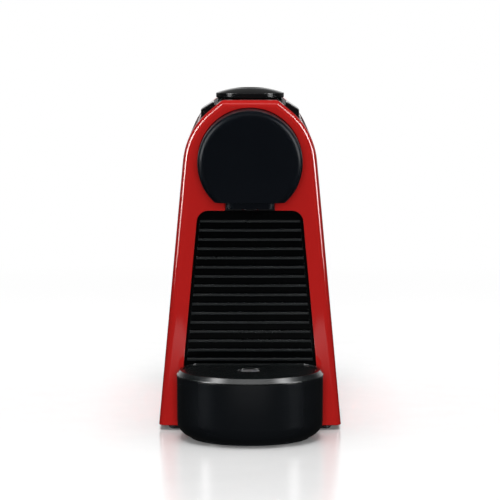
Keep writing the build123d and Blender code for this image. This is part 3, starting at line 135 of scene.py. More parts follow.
def dress(finish, *names):
    """Gives CAD nodes their finish."""
    for name in names:
        for socket in nodes[name].material_slots:
            socket.material = finish


sparked_black = plastic("sparked black", [(0.0055, 0.006, 0.0065), (0.009, 0.0095, 0.01)],
                        (0.03, 0.03, 0.031), (0.42, 0.6), 1500, 0.00003, Specular_IOR_Level=0.25)
foot_rubber = plastic("foot rubber", [(0.010, 0.010, 0.010), (0.018, 0.018, 0.018)], (0.04, 0.04, 0.038),
                      (0.6, 0.8), 2200, 0.00008, edge=0.0002)
dress(sparked_black, "base_plate")
dress(foot_rubber, "rubber_feet")


# ---- inner frame ----
# A bulkhead and deck in one dark moulding, with the funnel that drops spent capsules into the container.
# It has a dark finish of its own; the back of the body is closed by a vented panel with the base plate's
# texture.
frame_black = plastic("frame black", [(0.012, 0.012, 0.013), (0.020, 0.020, 0.021)], (0.05, 0.05, 0.05),
                      (0.5, 0.7), 900, 0.00008, edge=0.0002)
dress(frame_black, "inner_chassis")
dress(sparked_black, "rear_wall")


# ---- water system ----
# Vibration pump in a rubber ring and a steel cradle, flow meter, hoses, stiff pipe and cast heater.
# Sheet steel is cold rolled, the heater is cast aluminium, and the coil is blue potting compound.
def drawn_metal_group():
    """Metal worked in one direction: fine streaks, small dents and a dull film in patches."""
    inputs = [("Streak Scale", 900.0), ("Edge Radius", 0.0002)]
    outputs = [("Streaks", "NodeSocketFloat"), ("Film", "NodeSocketFloat"), ("Normal", "NodeSocketVector")]
    tree, given, out = shader_group("Drawn metal", inputs, outputs)
    place = add(tree, "ShaderNodeTexCoord").outputs["Object"]
    along = add(tree, "ShaderNodeMapping", i0=place)
    along.inputs["Scale"].default_value = (1.0, 0.06, 1.0)
    streaks = add(tree, "ShaderNodeTexNoise", Vector=along.outputs[0], Scale=given.outputs["Streak Scale"],
                  Detail=3.0)
    film = add(tree, "ShaderNodeTexNoise", Vector=place, Scale=65.0, Detail=4.0, Distortion=0.4)
    edge = add(tree, "ShaderNodeBevel", {"samples": 3}, Radius=given.outputs["Edge Radius"])
    tree.links.new(streaks.outputs[0], out.inputs["Streaks"])
    tree.links.new(spread(tree, film.outputs[0], 0.35, 0.7), out.inputs["Film"])
    tree.links.new(edge.outputs[0], out.inputs["Normal"])
    return tree


DRAWN_METAL = drawn_metal_group()


def metal(name, bright, dull, roughness, streak_scale, depth, edge=0.0002):
    """A metal finish: its clean and filmed tones, a roughness range, and a streak scale and depth."""
    finish = bpy.data.materials.new(name)
    finish.use_nodes = True
    tree = finish.node_tree
    shader = tree.nodes["Principled BSDF"]
    skin = add(tree, "ShaderNodeGroup", {"node_tree": DRAWN_METAL}, Streak_Scale=streak_scale,
               Edge_Radius=edge)
    tones = add(tree, "ShaderNodeMix", {"data_type": "RGBA"}, i0=skin.outputs["Film"],
                i6=(*bright, 1), i7=(*dull, 1))
    bump = add(tree, "ShaderNodeBump", Strength=1.0, Distance=depth, Height=skin.outputs["Streaks"],
               Normal=skin.outputs["Normal"])
    tree.links.new(tones.outputs[2], shader.inputs["Base Color"])
    tree.links.new(spread(tree, skin.outputs["Film"], 0.0, 1.0, *roughness), shader.inputs["Roughness"])
    tree.links.new(bump.outputs[0], shader.inputs["Normal"])
    shader.inputs["Metallic"].default_value = 1.0
    return finish


sheet_steel = metal("sheet steel", (0.56, 0.56, 0.55), (0.36, 0.36, 0.35), (0.26, 0.44), 900, 0.00002)
spring_wire = metal("spring wire", (0.50, 0.50, 0.49), (0.33, 0.33, 0.33), (0.22, 0.36), 1800, 0.00001,
                    edge=0.00005)
cast_metal = metal("cast aluminium", (0.55, 0.55, 0.54), (0.34, 0.34, 0.34), (0.45, 0.62), 500, 0.00012)
brass = metal("brass pipe", (0.62, 0.42, 0.16), (0.36, 0.22, 0.09), (0.24, 0.46), 1200, 0.00002)
grey_nylon = plastic("grey nylon", [(0.10, 0.10, 0.105), (0.15, 0.15, 0.155)], (0.24, 0.24, 0.24),
                     (0.40, 0.56), 1100, 0.00005)
acetal = plastic("white acetal", [(0.66, 0.66, 0.63), (0.76, 0.76, 0.74)], (0.84, 0.84, 0.82),
                 (0.32, 0.46), 1500, 0.00003)
silicone = plastic("milky silicone", [(0.55, 0.55, 0.53), (0.68, 0.67, 0.64)], (0.7, 0.7, 0.68),
                   (0.38, 0.52), 1300, 0.00003, edge=0.0001)
coil_blue = plastic("potted coil", [(0.020, 0.055, 0.22), (0.030, 0.080, 0.30)], (0.10, 0.16, 0.38),
                    (0.34, 0.5), 700, 0.00008)
circuit_green = plastic("circuit board", [(0.012, 0.10, 0.035), (0.020, 0.15, 0.055)], (0.20, 0.22, 0.10),
                        (0.28, 0.42), 2500, 0.00002, edge=0.0001)
part_black = plastic("component black", [(0.012, 0.012, 0.014), (0.024, 0.024, 0.026)], (0.07, 0.07, 0.07),
                     (0.34, 0.5), 1800, 0.00004, edge=0.0002)
dress(grey_nylon, "pump_body", "flow_meter")
dress(coil_blue, "pump_coil")
dress(sheet_steel, "pump_yoke", "pump_cradle")
dress(foot_rubber, "pump_mount")
dress(spring_wire, "pump_piston")
dress(silicone, "water_hoses")
dress(acetal, "flow_meter_rotor")
dress(cast_metal, "thermoblock")
dress(brass, "pressure_pipe", "inlet_pipe")
dress(part_black, "thermostats", "board_components")
dress(circuit_green, "main_board")


# ---- brewing unit ----
# Two pressed steel cheeks carry the axle and guide the cage, a turned steel cup with three needles in it.
# The carriage behind it is nylon, the shoes are acetal, and the seal in the cup's rim is silicone.
polished = metal("polished steel", (0.72, 0.72, 0.71), (0.58, 0.58, 0.57), (0.07, 0.16), 700, 0.000004,
                 edge=0.00015)
dress(sheet_steel, "brew_frame_right", "brew_frame_left", "frame_spacers", "capsule_cage")
dress(polished, "extraction_plate", "piercing_needles")
dress(silicone, "cage_seal")
dress(acetal, "slide_shoes")
dress(grey_nylon, "cage_carriage", "coffee_duct")
dress(spring_wire, "crank_pins", "lever_axle")


# ---- outer cover ----
# One red moulding in the shape of a tapered arch, high gloss from a polished tool, with a rounded edge
# round its flat face. The openings for the head and the container have small broken edges.
def merged_copy(node, name):
    """A separate mesh of a CAD node, its triangles joined up and its flat faces made whole."""
    bm = bmesh.new()
    bm.from_mesh(nodes[node].data)
    bmesh.ops.remove_doubles(bm, verts=bm.verts, dist=2e-6)
    bmesh.ops.dissolve_limit(bm, angle_limit=radians(0.01), verts=bm.verts, edges=bm.edges)
    mesh = bpy.data.meshes.new(name)
    bm.to_mesh(mesh)
    bm.free()
    stored = mesh.attributes.get("custom_normal")
    if stored:
        mesh.attributes.remove(stored)
    piece = bpy.data.objects.new(name, mesh)
    bpy.context.scene.collection.objects.link(piece)
    return piece


def settle(piece, finish, body, slot, *replaced):
    """Applies a piece's modifiers, then gives it its finish, its body and the nodes that it stands for."""
    graph = bpy.context.evaluated_depsgraph_get()
    mesh = bpy.data.meshes.new_from_object(piece.evaluated_get(graph))
    piece.modifiers.clear()
    piece.data = mesh
    mesh.name = piece.name
    mesh.materials.clear()
    mesh.materials.append(finish)
    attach(piece, body)
    if replaced:
        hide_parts(*replaced)
    return piece


def break_edges(piece, width, segments=2, angle=32):
    """Rounds a piece's sharp edges by a small radius, as the tool leaves them."""
    bevel = piece.modifiers.new("broken edges", "BEVEL")
    bevel.width = width
    bevel.segments = segments
    bevel.limit_method = "ANGLE"
    bevel.angle_limit = radians(angle)
    bevel.use_clamp_overlap = False
    bevel.harden_normals = False
    piece.data.shade_smooth()
    normals = piece.modifiers.new("even normals", "WEIGHTED_NORMAL")
    normals.keep_sharp = False
    normals.weight = 80


red = plastic("gloss red", [(0.372, 0.0110, 0.0098), (0.388, 0.0120, 0.0108)], (0.44, 0.03, 0.025),
              (0.03, 0.06), 220, 0.0000006, edge=0.0003, Specular_IOR_Level=0.25)
cover = merged_copy("outer_cover", "red_cover")
break_edges(cover, 0.0003)
settle(cover, red, "housing", "red_gloss", "outer_cover")


# ---- head and outlet ----
# Round cap over the outlet, with a rounded front edge, and a flat block under it that carries the nozzle.
# Cap and block are moulded in satin black, and the nozzle in gloss black.
satin_black = plastic("satin black", [(0.0022, 0.0029, 0.0042), (0.0030, 0.0038, 0.0053)],
                      (0.012, 0.012, 0.013), (0.34, 0.40), 2600, 0.000002, edge=0.0003,
                      Specular_IOR_Level=0.05)
gloss_black = plastic("gloss black", [(0.0035, 0.0037, 0.0042), (0.0048, 0.0050, 0.0055)], (0.02, 0.02, 0.02),
                      (0.10, 0.17), 900, 0.000002, edge=0.0003, Specular_IOR_Level=0.35)
dress(satin_black, "head_cap", "spout_housing")
dress(gloss_black, "outlet_nozzle")


# ---- capsule container ----
# An open box on two skids, closed by a ribbed front panel that slides out with the tray. The panel is a
# thin rim and a recess, and level ridges with rounded noses stand in it. Rim and recess get a much darker
# black, as painted shade in the recess, and the ridges a lighter black, as painted light on their noses.
dress(sparked_black, "capsule_container")
LEAN = 0.0925                   # how far each side leans in, for each unit of height
BODY_FOOT = (0.055, 0.0028)     # outer corner of the body's foot
PANEL_INSET = 0.0120            # panel edge inside the body's side
RIM = 0.0014
RIDGES = 16
RIDGE_PITCH = 0.00557
RIDGE_THICK = 0.0016
FIRST_RIDGE = 0.1263            # height of the highest ridge's middle
PANEL_CORNER = 0.0066           # radius of the panel's upper corners
FIELD_CORNER = 0.0003
PANEL_BACK_WALL = 0.0015        # what is left behind the ridged field
RIDGE_OVERRUN = 0.0005          # how far the ridges run into the rim
TONGUE_SLOT = (0.0175, 0.0104, 0.0138)      # half-width, foot and top of the slot for the tray's tongue


def side_at(height, inset):
    """Half-width at a height, along a line parallel to the body's side."""
    return BODY_FOOT[0] - inset / cos(atan2(LEAN, 1)) - (height - BODY_FOOT[1]) * LEAN


def tapered_loop(inset, low, high, corner, steps=8):
    """Outline of the panel or of its ridged field, with rounded upper corners, as (x, z)."""
    lean = atan2(LEAN, 1)
    right = [(side_at(low, inset), low)]
    for step in range(steps + 1):
        turn = lean + (pi / 2 - lean) * step / steps
        middle = high - corner
        right.append((side_at(middle, inset + corner) + corner * cos(turn), middle + corner * sin(turn)))
    return right + [(-x, z) for x, z in reversed(right)]


def bridge(bm, first, second):
    """A band of faces between two loops with the same number of corners."""
    for i in range(len(first)):
        j = (i + 1) % len(first)
        bm.faces.new((first[i], first[j], second[j], second[i]))


def panel_shell():
    """Rim, ridge field and back of the front panel; the slot below for the tray's tongue is cut afterwards.
    """
    low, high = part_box("container_front")
    front, back = low.y, high.y
    outer = tapered_loop(PANEL_INSET, low.z, high.z, PANEL_CORNER)
    field_top = FIRST_RIDGE + RIDGE_THICK / 2
    field_low = FIRST_RIDGE - RIDGE_PITCH * RIDGES + RIDGE_THICK
    inner = tapered_loop(PANEL_INSET + RIM, field_low, field_top, FIELD_CORNER)
    bm = bmesh.new()
    loops = []
    deep = back - PANEL_BACK_WALL
    for outline, depth in ((outer, front), (inner, front), (inner, deep), (outer, back)):
        loops.append([bm.verts.new((x, depth, z)) for x, z in outline])
    outer_front, inner_front, inner_deep, outer_back = loops
    bridge(bm, outer_front, inner_front)
    bridge(bm, inner_front, inner_deep)
    bridge(bm, outer_back, outer_front)
    bm.faces.new(inner_deep)
    bm.faces.new(reversed(outer_back))
    bmesh.ops.recalc_face_normals(bm, faces=bm.faces)
    mesh = bpy.data.meshes.new("ribbed_panel")
    bm.to_mesh(mesh)
    bm.free()
    panel = bpy.data.objects.new("ribbed_panel", mesh)
    bpy.context.scene.collection.objects.link(panel)
    return panel, (front + back) / 2


def cut_box(piece, low, high):
    """Cuts a square hole through a piece."""
    bm = bmesh.new()
    bmesh.ops.create_cube(bm, size=1.0)
    middle = (Vector(low) + Vector(high)) / 2
    size = Vector(high) - Vector(low)
    bm.transform(Matrix.Translation(middle) @ Matrix.Diagonal((*size, 1.0)))
    mesh = bpy.data.meshes.new("cutter")
    bm.to_mesh(mesh)
    bm.free()
    cutter = bpy.data.objects.new("cutter", mesh)
    bpy.context.scene.collection.objects.link(cutter)
    cut = piece.modifiers.new("cut", "BOOLEAN")
    cut.solver = "EXACT"
    cut.object = cutter
    graph = bpy.context.evaluated_depsgraph_get()
    piece.data = bpy.data.meshes.new_from_object(piece.evaluated_get(graph))
    piece.modifiers.clear()
    bpy.data.objects.remove(cutter)


def geometry_tree(name, inputs):
    """A geometry tree with named inputs for its sizes."""
    tree = bpy.data.node_groups.new(name, "GeometryNodeTree")
    for label, kind in inputs:
        tree.interface.new_socket(label, in_out="INPUT", socket_type=kind)
    tree.interface.new_socket("Geometry", in_out="OUTPUT", socket_type="NodeSocketGeometry")
    return tree, tree.nodes.new("NodeGroupInput").outputs, tree.nodes.new("NodeGroupOutput")


def finish_tree(tree, shape, given, out):
    """Makes a tree's instances real, and gives them the finish that the tree was given."""
    whole = add(tree, "GeometryNodeRealizeInstances", Geometry=shape)
    coloured = add(tree, "GeometryNodeSetMaterial", Geometry=whole.outputs[0], Material=given["Finish"])
    tree.links.new(coloured.outputs[0], out.inputs[0])


def grow(tree, name, values):
    """Runs a geometry tree with the given sizes, and keeps the result as a plain mesh."""
    piece = bpy.data.objects.new(name, bpy.data.meshes.new(name))
    bpy.context.scene.collection.objects.link(piece)
    live = piece.modifiers.new(tree.name, "NODES")
    live.node_group = tree
    for socket in tree.interface.items_tree:
        if socket.in_out == "INPUT":
            live[socket.identifier] = values[socket.name]
    graph = bpy.context.evaluated_depsgraph_get()
    mesh = bpy.data.meshes.new_from_object(piece.evaluated_get(graph))
    piece.modifiers.clear()
    piece.data = mesh
    mesh.name = name
    return piece


def ridge_tree():
    """Level bars below one another, each wider than the last, with rounded noses."""
    number = "NodeSocketFloat"
    tree, given, out = geometry_tree("Level ridges", [
        ("Count", "NodeSocketInt"), ("Pitch", number), ("Thickness", number), ("Depth", number),
        ("First Height", number), ("First Half Width", number), ("Widening", number), ("Middle", number),
        ("Nose", number), ("Finish", "NodeSocketMaterial")])
    start = add(tree, "ShaderNodeCombineXYZ", Y=given["Middle"], Z=given["First Height"])
    down = add(tree, "ShaderNodeMath", {"operation": "MULTIPLY"}, i0=given["Pitch"], i1=-1.0)
    step = add(tree, "ShaderNodeCombineXYZ", Z=down.outputs[0])
    rows = add(tree, "GeometryNodeMeshLine", Count=given["Count"], Start_Location=start.outputs[0],
               Offset=step.outputs[0])
    line = add(tree, "GeometryNodeCurvePrimitiveLine", Start=(-1, 0, 0), End=(1, 0, 0))
    section = add(tree, "GeometryNodeCurvePrimitiveQuadrilateral", Width=given["Depth"],
                  Height=given["Thickness"])
    nose = add(tree, "GeometryNodeFilletCurve", {"mode": "POLY"}, Curve=section.outputs[0], Count=5,
               Radius=given["Nose"], Limit_Radius=True)
    bar = add(tree, "GeometryNodeCurveToMesh", Curve=line.outputs[0], Profile_Curve=nose.outputs[0],
              Fill_Caps=True)
    row = add(tree, "GeometryNodeInputIndex")
    wider = add(tree, "ShaderNodeMath", {"operation": "MULTIPLY_ADD"}, i0=row.outputs[0],
                i1=given["Widening"], i2=given["First Half Width"])
    size = add(tree, "ShaderNodeCombineXYZ", X=wider.outputs[0], Y=1.0, Z=1.0)
    placed = add(tree, "GeometryNodeInstanceOnPoints", Points=rows.outputs[0], Instance=bar.outputs[0],
                 Scale=size.outputs[0])
    finish_tree(tree, placed.outputs[0], given, out)
    return tree


# One black in two copies: a very dark one with little gloss is painted shade for the recess, and a lighter,
# glossier one is painted light on the ridges' noses.
shaded_recess_black = plastic("recess black", [(0.0006, 0.0008, 0.0009), (0.0010, 0.0012, 0.0013)],
                       (0.01, 0.01, 0.01), (0.18, 0.26), 1500, 0.000002, Specular_IOR_Level=0.04)
lit_ridge_black = plastic("ridge black", [(0.0100, 0.0115, 0.0120), (0.0120, 0.0135, 0.0140)], (0.03, 0.03, 0.03),
                      (0.26, 0.34), 2600, 0.000003, edge=0.0001, Specular_IOR_Level=0.4)
panel, panel_middle = panel_shell()
slot_half, slot_foot, slot_top = TONGUE_SLOT
cut_box(panel, (-slot_half, panel_middle - 0.01, slot_foot), (slot_half, panel_middle + 0.01, slot_top))
break_edges(panel, 0.00025)
settle(panel, shaded_recess_black, "container", "black_satin", "container_front")
ridges = grow(ridge_tree(), "front_ridges", {
    "Count": RIDGES, "Pitch": RIDGE_PITCH, "Thickness": RIDGE_THICK, "Depth": 0.0035,
    "First Height": FIRST_RIDGE, "First Half Width": side_at(FIRST_RIDGE, PANEL_INSET + RIM - RIDGE_OVERRUN),
    "Widening": RIDGE_PITCH * LEAN, "Middle": panel_middle - 0.00045, "Nose": 0.0006, "Finish": lit_ridge_black})
for face in ridges.data.polygons:
    face.use_smooth = True
ridges.data.set_sharp_from_angle(angle=radians(40))
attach(ridges, "container")


# ---- drip tray ----
# Round drum with a rolled lower edge, a lift-out cup inside it, and a dished rest for the cup on top.
# A small polished steel disc with six holes sits in the middle of the rest.
tray_black = plastic("tray black", [(0.0038, 0.0046, 0.0056), (0.0050, 0.0058, 0.0068)],
                     (0.014, 0.014, 0.015), (0.15, 0.19), 2600, 0.000002, edge=0.0003,
                     Specular_IOR_Level=0.12)
rest_black = plastic("rest black", [(0.0040, 0.0052, 0.0056), (0.0052, 0.0064, 0.0068)],
                     (0.016, 0.016, 0.017), (0.20, 0.26), 2600, 0.000002, edge=0.0003, Specular_IOR_Level=0.5)
dress(tray_black, "drip_base")
dress(rest_black, "cup_support")
dress(sparked_black, "drip_tray")
brushed = metal("brushed steel", (0.62, 0.63, 0.65), (0.50, 0.51, 0.52), (0.34, 0.46), 2400, 0.00001,
                edge=0.0001)
dress(brushed, "drain_insert")


# ---- dock and tank ----
# The foot behind the body carries the tank and the gland of the mains lead. The tank is clear, slightly
# smoky plastic with a hinged black lid, and a sprung valve opens as it sits down on the dock.
def clear_plastic(name, tint):
    """A clear moulded finish in two close tints."""
    finish = bpy.data.materials.new(name)
    finish.use_nodes = True
    tree = finish.node_tree
    shader = tree.nodes["Principled BSDF"]
    skin = add(tree, "ShaderNodeGroup", {"node_tree": MOULDED_SURFACE}, Grain_Scale=300.0, Edge_Radius=0.0002)
    tones = add(tree, "ShaderNodeMix", {"data_type": "RGBA"}, i0=skin.outputs["Tone"], i6=(*tint[0], 1),
                i7=(*tint[1], 1))
    bump = add(tree, "ShaderNodeBump", Strength=0.6, Distance=0.00001, Height=skin.outputs["Grain"])
    tree.links.new(tones.outputs[2], shader.inputs["Base Color"])
    tree.links.new(spread(tree, skin.outputs["Marks"], 0.0, 1.0, 0.03, 0.12), shader.inputs["Roughness"])
    tree.links.new(bump.outputs[0], shader.inputs["Normal"])
    shader.inputs["Transmission Weight"].default_value = 1.0
    shader.inputs["IOR"].default_value = 1.49
    return finish


smoky_clear = clear_plastic("smoky clear", [(0.80, 0.82, 0.83), (0.86, 0.87, 0.88)])
dress(sparked_black, "tank_dock")
dress(foot_rubber, "cord_gland")
dress(silicone, "dock_seal")
dress(smoky_clear, "water_tank")
dress(satin_black, "tank_lid")
dress(spring_wire, "lid_hinge_pin", "tank_valve_spring")
dress(acetal, "tank_filter", "tank_valve")


# ---- top cover and buttons ----
# Black insert in the roof, with the capsule slot, the slots for the lever's arms and the button wells.
# The two shoulder buttons are gloss caps on springs over push switches. The pump's spring, which also
# shortens when pressed, is made here in the same way.
dress(sparked_black, "top_cover")
dress(gloss_black, "espresso_button", "lungo_button")


def pressed_spring(node):
    """A smooth copy of a spring's coil in spring steel, held by the housing, with a mesh of its own."""
    spring = merged_copy(node, node + "_coil")
    spring.data.shade_smooth()
    settle(spring, spring_wire, "housing", "spring_steel", node)
    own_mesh(spring)


pressed_spring("espresso_spring")
pressed_spring("lungo_spring")
pressed_spring("pump_spring")
dress(part_black, "button_switches")


# ---- lever ----
# A plate on two long arms that reach down to the axle, with a domed gloss disc moulded over it.
# The disc has a shallow dish for the thumb.
dress(sparked_black, "lever")
dress(gloss_black, "lever_pad")


# ---- screws ----
# Ten steel screws with flat cylindrical heads and cross recesses. Six go up through the base plate, and
# four go down through the cheeks' flanges.
LOW_SCREWS = [(side * 0.040, y) for side in (-1, 1) for y in (-0.0225, 0.102, 0.1465)]
FLANGE_SCREWS = [(side * 0.0275, y) for side in (-1, 1) for y in (-0.054, 0.022)]
HEAD_UNDER = 0.0008             # height of the low screws' heads' outer face
FLANGE_HEAD_TOP = 0.1403


def screw_tree():
    """Screws at the points of a mesh: each has a turned head with a cross recess, and a shank."""
    number = "NodeSocketFloat"
    tree, given, out = geometry_tree("Cross-head screws", [
        ("Places", "NodeSocketObject"), ("Head Radius", number), ("Head Height", number),
        ("Shank Radius", number), ("Shank Length", number), ("Recess Width", number),
        ("Recess Depth", number), ("Finish", "NodeSocketMaterial")])
    places = add(tree, "GeometryNodeObjectInfo", Object=given["Places"])
    head = add(tree, "GeometryNodeMeshCylinder", Vertices=40, Radius=given["Head Radius"],
               Depth=given["Head Height"])
    half = add(tree, "ShaderNodeMath", {"operation": "MULTIPLY"}, i0=given["Head Height"], i1=-0.5)
    under = add(tree, "ShaderNodeCombineXYZ", Z=half.outputs[0])
    head = add(tree, "GeometryNodeTransform", Geometry=head.outputs[0], Translation=under.outputs[0])
    twice = add(tree, "ShaderNodeMath", {"operation": "MULTIPLY"}, i0=given["Recess Depth"], i1=2.0)
    cutters = add(tree, "GeometryNodeJoinGeometry")
    for turn in (0.0, pi / 2):
        size = add(tree, "ShaderNodeCombineXYZ", X=given["Head Radius"], Y=given["Recess Width"],
                   Z=twice.outputs[0])
        bar = add(tree, "GeometryNodeMeshCube", Size=size.outputs[0])
        bar = add(tree, "GeometryNodeTransform", Geometry=bar.outputs[0], Rotation=(0.0, 0.0, turn))
        tree.links.new(bar.outputs[0], cutters.inputs[0])
    cut = add(tree, "GeometryNodeMeshBoolean", {"operation": "DIFFERENCE", "solver": "EXACT"})
    tree.links.new(head.outputs[0], cut.inputs[0])
    tree.links.new(cutters.outputs[0], cut.inputs[1])
    cut.inputs["Self Intersection"].default_value = True
    shank = add(tree, "GeometryNodeMeshCylinder", Vertices=28, Radius=given["Shank Radius"],
                Depth=given["Shank Length"])
    drop = add(tree, "ShaderNodeMath", {"operation": "MULTIPLY_ADD"}, i0=given["Shank Length"], i1=-0.5)
    lower = add(tree, "ShaderNodeMath", {"operation": "MULTIPLY"}, i0=given["Head Height"], i1=-1.0)
    tree.links.new(lower.outputs[0], drop.inputs[2])
    below = add(tree, "ShaderNodeCombineXYZ", Z=drop.outputs[0])
    shank = add(tree, "GeometryNodeTransform", Geometry=shank.outputs[0], Translation=below.outputs[0])
    screw = add(tree, "GeometryNodeJoinGeometry")
    tree.links.new(cut.outputs[0], screw.inputs[0])
    tree.links.new(shank.outputs[0], screw.inputs[0])
    facing = add(tree, "GeometryNodeInputNamedAttribute", {"data_type": "FLOAT_VECTOR"}, Name="facing")
    placed = add(tree, "GeometryNodeInstanceOnPoints", Points=places.outputs["Geometry"],
                 Instance=screw.outputs[0], Rotation=facing.outputs[0])
    finish_tree(tree, placed.outputs[0], given, out)
    return tree


def screw_places(name, spots):
    """Points that carry each screw's turn, as (place, turn)."""
    mesh = bpy.data.meshes.new(name)
    mesh.from_pydata([place for place, turn in spots], [], [])
    facing = mesh.attributes.new("facing", "FLOAT_VECTOR", "POINT")
    for entry, (place, turn) in zip(facing.data, spots):
        entry.vector = turn
    held = bpy.data.objects.new(name, mesh)
    bpy.context.scene.collection.objects.link(held)
    return held


spots = [((x, y, HEAD_UNDER), (pi, 0.0, 0.7 * i)) for i, (x, y) in enumerate(LOW_SCREWS)]
spots += [((x, y, FLANGE_HEAD_TOP), (0.0, 0.0, 0.5 + 0.9 * i)) for i, (x, y) in enumerate(FLANGE_SCREWS)]
places = screw_places("screw_places", spots)
screws = grow(screw_tree(), "cross_head_screws", {
    "Places": places, "Head Radius": 0.0028, "Head Height": 0.0016, "Shank Radius": 0.0014,
    "Shank Length": 0.0044, "Recess Width": 0.0007, "Recess Depth": 0.0008, "Finish": sheet_steel})
bpy.data.objects.remove(places)
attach(screws, "housing")
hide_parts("screws")


# ---- studio ----
# A pale floor with a mild gloss, a surround that is white to the eye and mostly dark in reflections, two
# soft lamps that don't show in gloss, and the camera.
CAMERA_PLACE = (0.0, -1.694, 0.262)
CAMERA_PITCH = radians(90 - 5.46)
CAMERA_LENS = 192.97


def studio_floor():
    """Pale floor that mirrors the machine near its foot and fades to plain white further out."""
    half = 6.0
    mesh = bpy.data.meshes.new("floor")
    corners = [(-half, -half, 0), (half, -half, 0), (half, half, 0), (-half, half, 0)]
    mesh.from_pydata(corners, [], [(0, 1, 2, 3)])
    floor = bpy.data.objects.new("floor", mesh)
    bpy.context.scene.collection.objects.link(floor)
    finish = bpy.data.materials.new("pale floor")
    finish.use_nodes = True
    tree = finish.node_tree
    shader = tree.nodes["Principled BSDF"]
    shader.inputs["Base Color"].default_value = (0.93, 0.93, 0.93, 1)
    place = add(tree, "ShaderNodeTexCoord").outputs["Object"]
    away = add(tree, "ShaderNodeVectorMath", {"operation": "LENGTH"}, i0=place).outputs["Value"]
    haze = add(tree, "ShaderNodeTexNoise", Vector=place, Scale=30.0, Detail=3.0)
    tree.links.new(spread(tree, haze.outputs[0], 0.3, 0.7, 0.16, 0.20), shader.inputs["Roughness"])
    tree.links.new(spread(tree, away, 0.17, 0.42, 0.50, 0.0), shader.inputs["Specular IOR Level"])
    even = add(tree, "ShaderNodeEmission", Color=(1, 1, 1, 1), Strength=1.0)
    lit = add(tree, "ShaderNodeMixShader", i0=spread(tree, away, 0.32, 0.9, 0.04, 1.0), i1=shader.outputs[0],
              i2=even.outputs[0])
    across, along = add(tree, "ShaderNodeSeparateXYZ", i0=place).outputs[:2]
    beside = add(tree, "ShaderNodeMath", {"operation": "ABSOLUTE"}, i0=across).outputs[0]
    patch = add(tree, "ShaderNodeMath", {"operation": "MULTIPLY"}, i0=spread(tree, along, -0.28, -0.50),
                i1=spread(tree, beside, 0.26, 0.08)).outputs[0]
    patch = add(tree, "ShaderNodeMath", {"operation": "MULTIPLY"}, i0=patch,
                i1=spread(tree, along, -0.64, -0.56)).outputs[0]
    glow = add(tree, "ShaderNodeEmission", Color=(1, 1, 1, 1), Strength=spread(tree, patch, 0, 1, 0.02, 1.6))
    bounce = add(tree, "ShaderNodeEmission", Color=(1, 1, 1, 1), Strength=0.25)
    path = add(tree, "ShaderNodeLightPath")
    soft = add(tree, "ShaderNodeMixShader", i0=path.outputs["Is Diffuse Ray"], i1=lit.outputs[0],
               i2=bounce.outputs[0])
    mirrored = add(tree, "ShaderNodeMath", {"operation": "SUBTRACT", "use_clamp": True},
                   i0=path.outputs["Is Glossy Ray"], i1=path.outputs["Is Transmission Ray"])
    seen = add(tree, "ShaderNodeMixShader", i0=mirrored.outputs[0], i1=soft.outputs[0],
               i2=glow.outputs[0])
    tree.links.new(seen.outputs[0], tree.nodes["Material Output"].inputs["Surface"])
    mesh.materials.append(finish)


RING_STRENGTH = 48.0            # arch of light in front, which draws the bright line on rounded edges
OVERHEAD_STRENGTH = 3.2
DARK_STRENGTH = 0.02            # the rest of what gloss reflects


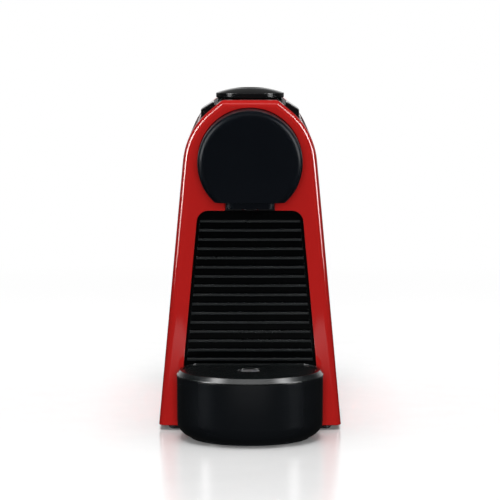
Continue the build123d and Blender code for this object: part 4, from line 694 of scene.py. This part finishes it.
def studio_surround():
    """White all round for the eye and for soft light; darker in reflections, with an arch of bright light."""
    world = bpy.data.worlds.new("surround")
    bpy.context.scene.world = world
    world.use_nodes = True
    tree = world.node_tree
    towards = add(tree, "ShaderNodeTexCoord").outputs["Generated"]
    x, y, z = add(tree, "ShaderNodeSeparateXYZ", i0=towards).outputs

    def math(operation, a, b=0.0, c=0.0):
        return add(tree, "ShaderNodeMath", {"operation": operation}, i0=a, i1=b, i2=c).outputs[0]

    ahead = math("MULTIPLY", y, -1.0)
    ring = math("MULTIPLY", spread(tree, ahead, 0.10, 0.16), spread(tree, ahead, 0.46, 0.36))
    sideways = math("DIVIDE", math("ABSOLUTE", x), math("SQRT", math("ADD", math("MULTIPLY", x, x),
                    math("ADD", math("MULTIPLY", z, z), 0.0001))))
    ring = math("MULTIPLY", ring, spread(tree, sideways, 0.45, 0.95))
    ring = math("MULTIPLY", ring, spread(tree, z, 0.88, 0.76))
    ring = math("MULTIPLY", math("MULTIPLY", ring, spread(tree, z, -0.03, 0.03)), RING_STRENGTH)
    overhead = math("MULTIPLY", spread(tree, y, -0.62, -0.50), spread(tree, y, -0.26, -0.38))
    overhead = math("MULTIPLY", math("MULTIPLY", overhead, spread(tree, z, 0.76, 0.86)),
                    OVERHEAD_STRENGTH)
    behind = math("MULTIPLY", spread(tree, y, 0.45, 0.90), spread(tree, z, 0.14, 0.34, 1.0, 0.10))
    reflected = math("ADD", math("ADD", ring, overhead), math("ADD", behind, DARK_STRENGTH))
    path = add(tree, "ShaderNodeLightPath")
    soft = spread(tree, z, -0.2, 0.8, 0.26, 0.34)
    lit = add(tree, "ShaderNodeMix", {"data_type": "FLOAT"}, i0=path.outputs["Is Glossy Ray"], i2=soft,
              i3=reflected)
    direct = math("MAXIMUM", path.outputs["Is Camera Ray"], path.outputs["Is Transmission Ray"])
    strength = add(tree, "ShaderNodeMix", {"data_type": "FLOAT"}, i0=direct,
                   i2=lit.outputs[0], i3=1.0)
    background = tree.nodes["Background"]
    background.inputs["Color"].default_value = (1, 1, 1, 1)
    tree.links.new(strength.outputs[0], background.inputs["Strength"])


def soft_panel(name, place, aim, size, power):
    """A broad lamp that lights surfaces without showing in their gloss."""
    lamp = bpy.data.lights.new(name, "AREA")
    lamp.shape = "SQUARE"
    lamp.size = size
    lamp.energy = power
    held = bpy.data.objects.new(name, lamp)
    held.location = place
    held.rotation_euler = (Vector(aim) - Vector(place)).to_track_quat("-Z", "Y").to_euler()
    held.visible_camera = False
    held.visible_glossy = False
    bpy.context.scene.collection.objects.link(held)


studio_floor()
studio_surround()
soft_panel("front lamp", place=(0.0, -1.9, 0.30), aim=(0, 0, 0.11), size=0.4, power=24)
soft_panel("top lamp", place=(0.0, -0.1, 2.4), aim=(0, 0, 0), size=1.6, power=52)
bpy.context.scene.view_settings.view_transform = "Standard"
camera = bpy.data.objects.new("camera", bpy.data.cameras.new("camera"))
camera.data.lens = CAMERA_LENS
camera.data.sensor_width = 36.0
camera.data.clip_start = 0.05
camera.location = CAMERA_PLACE
camera.rotation_euler = (CAMERA_PITCH, 0, 0)
bpy.context.scene.collection.objects.link(camera)
bpy.context.scene.camera = camera
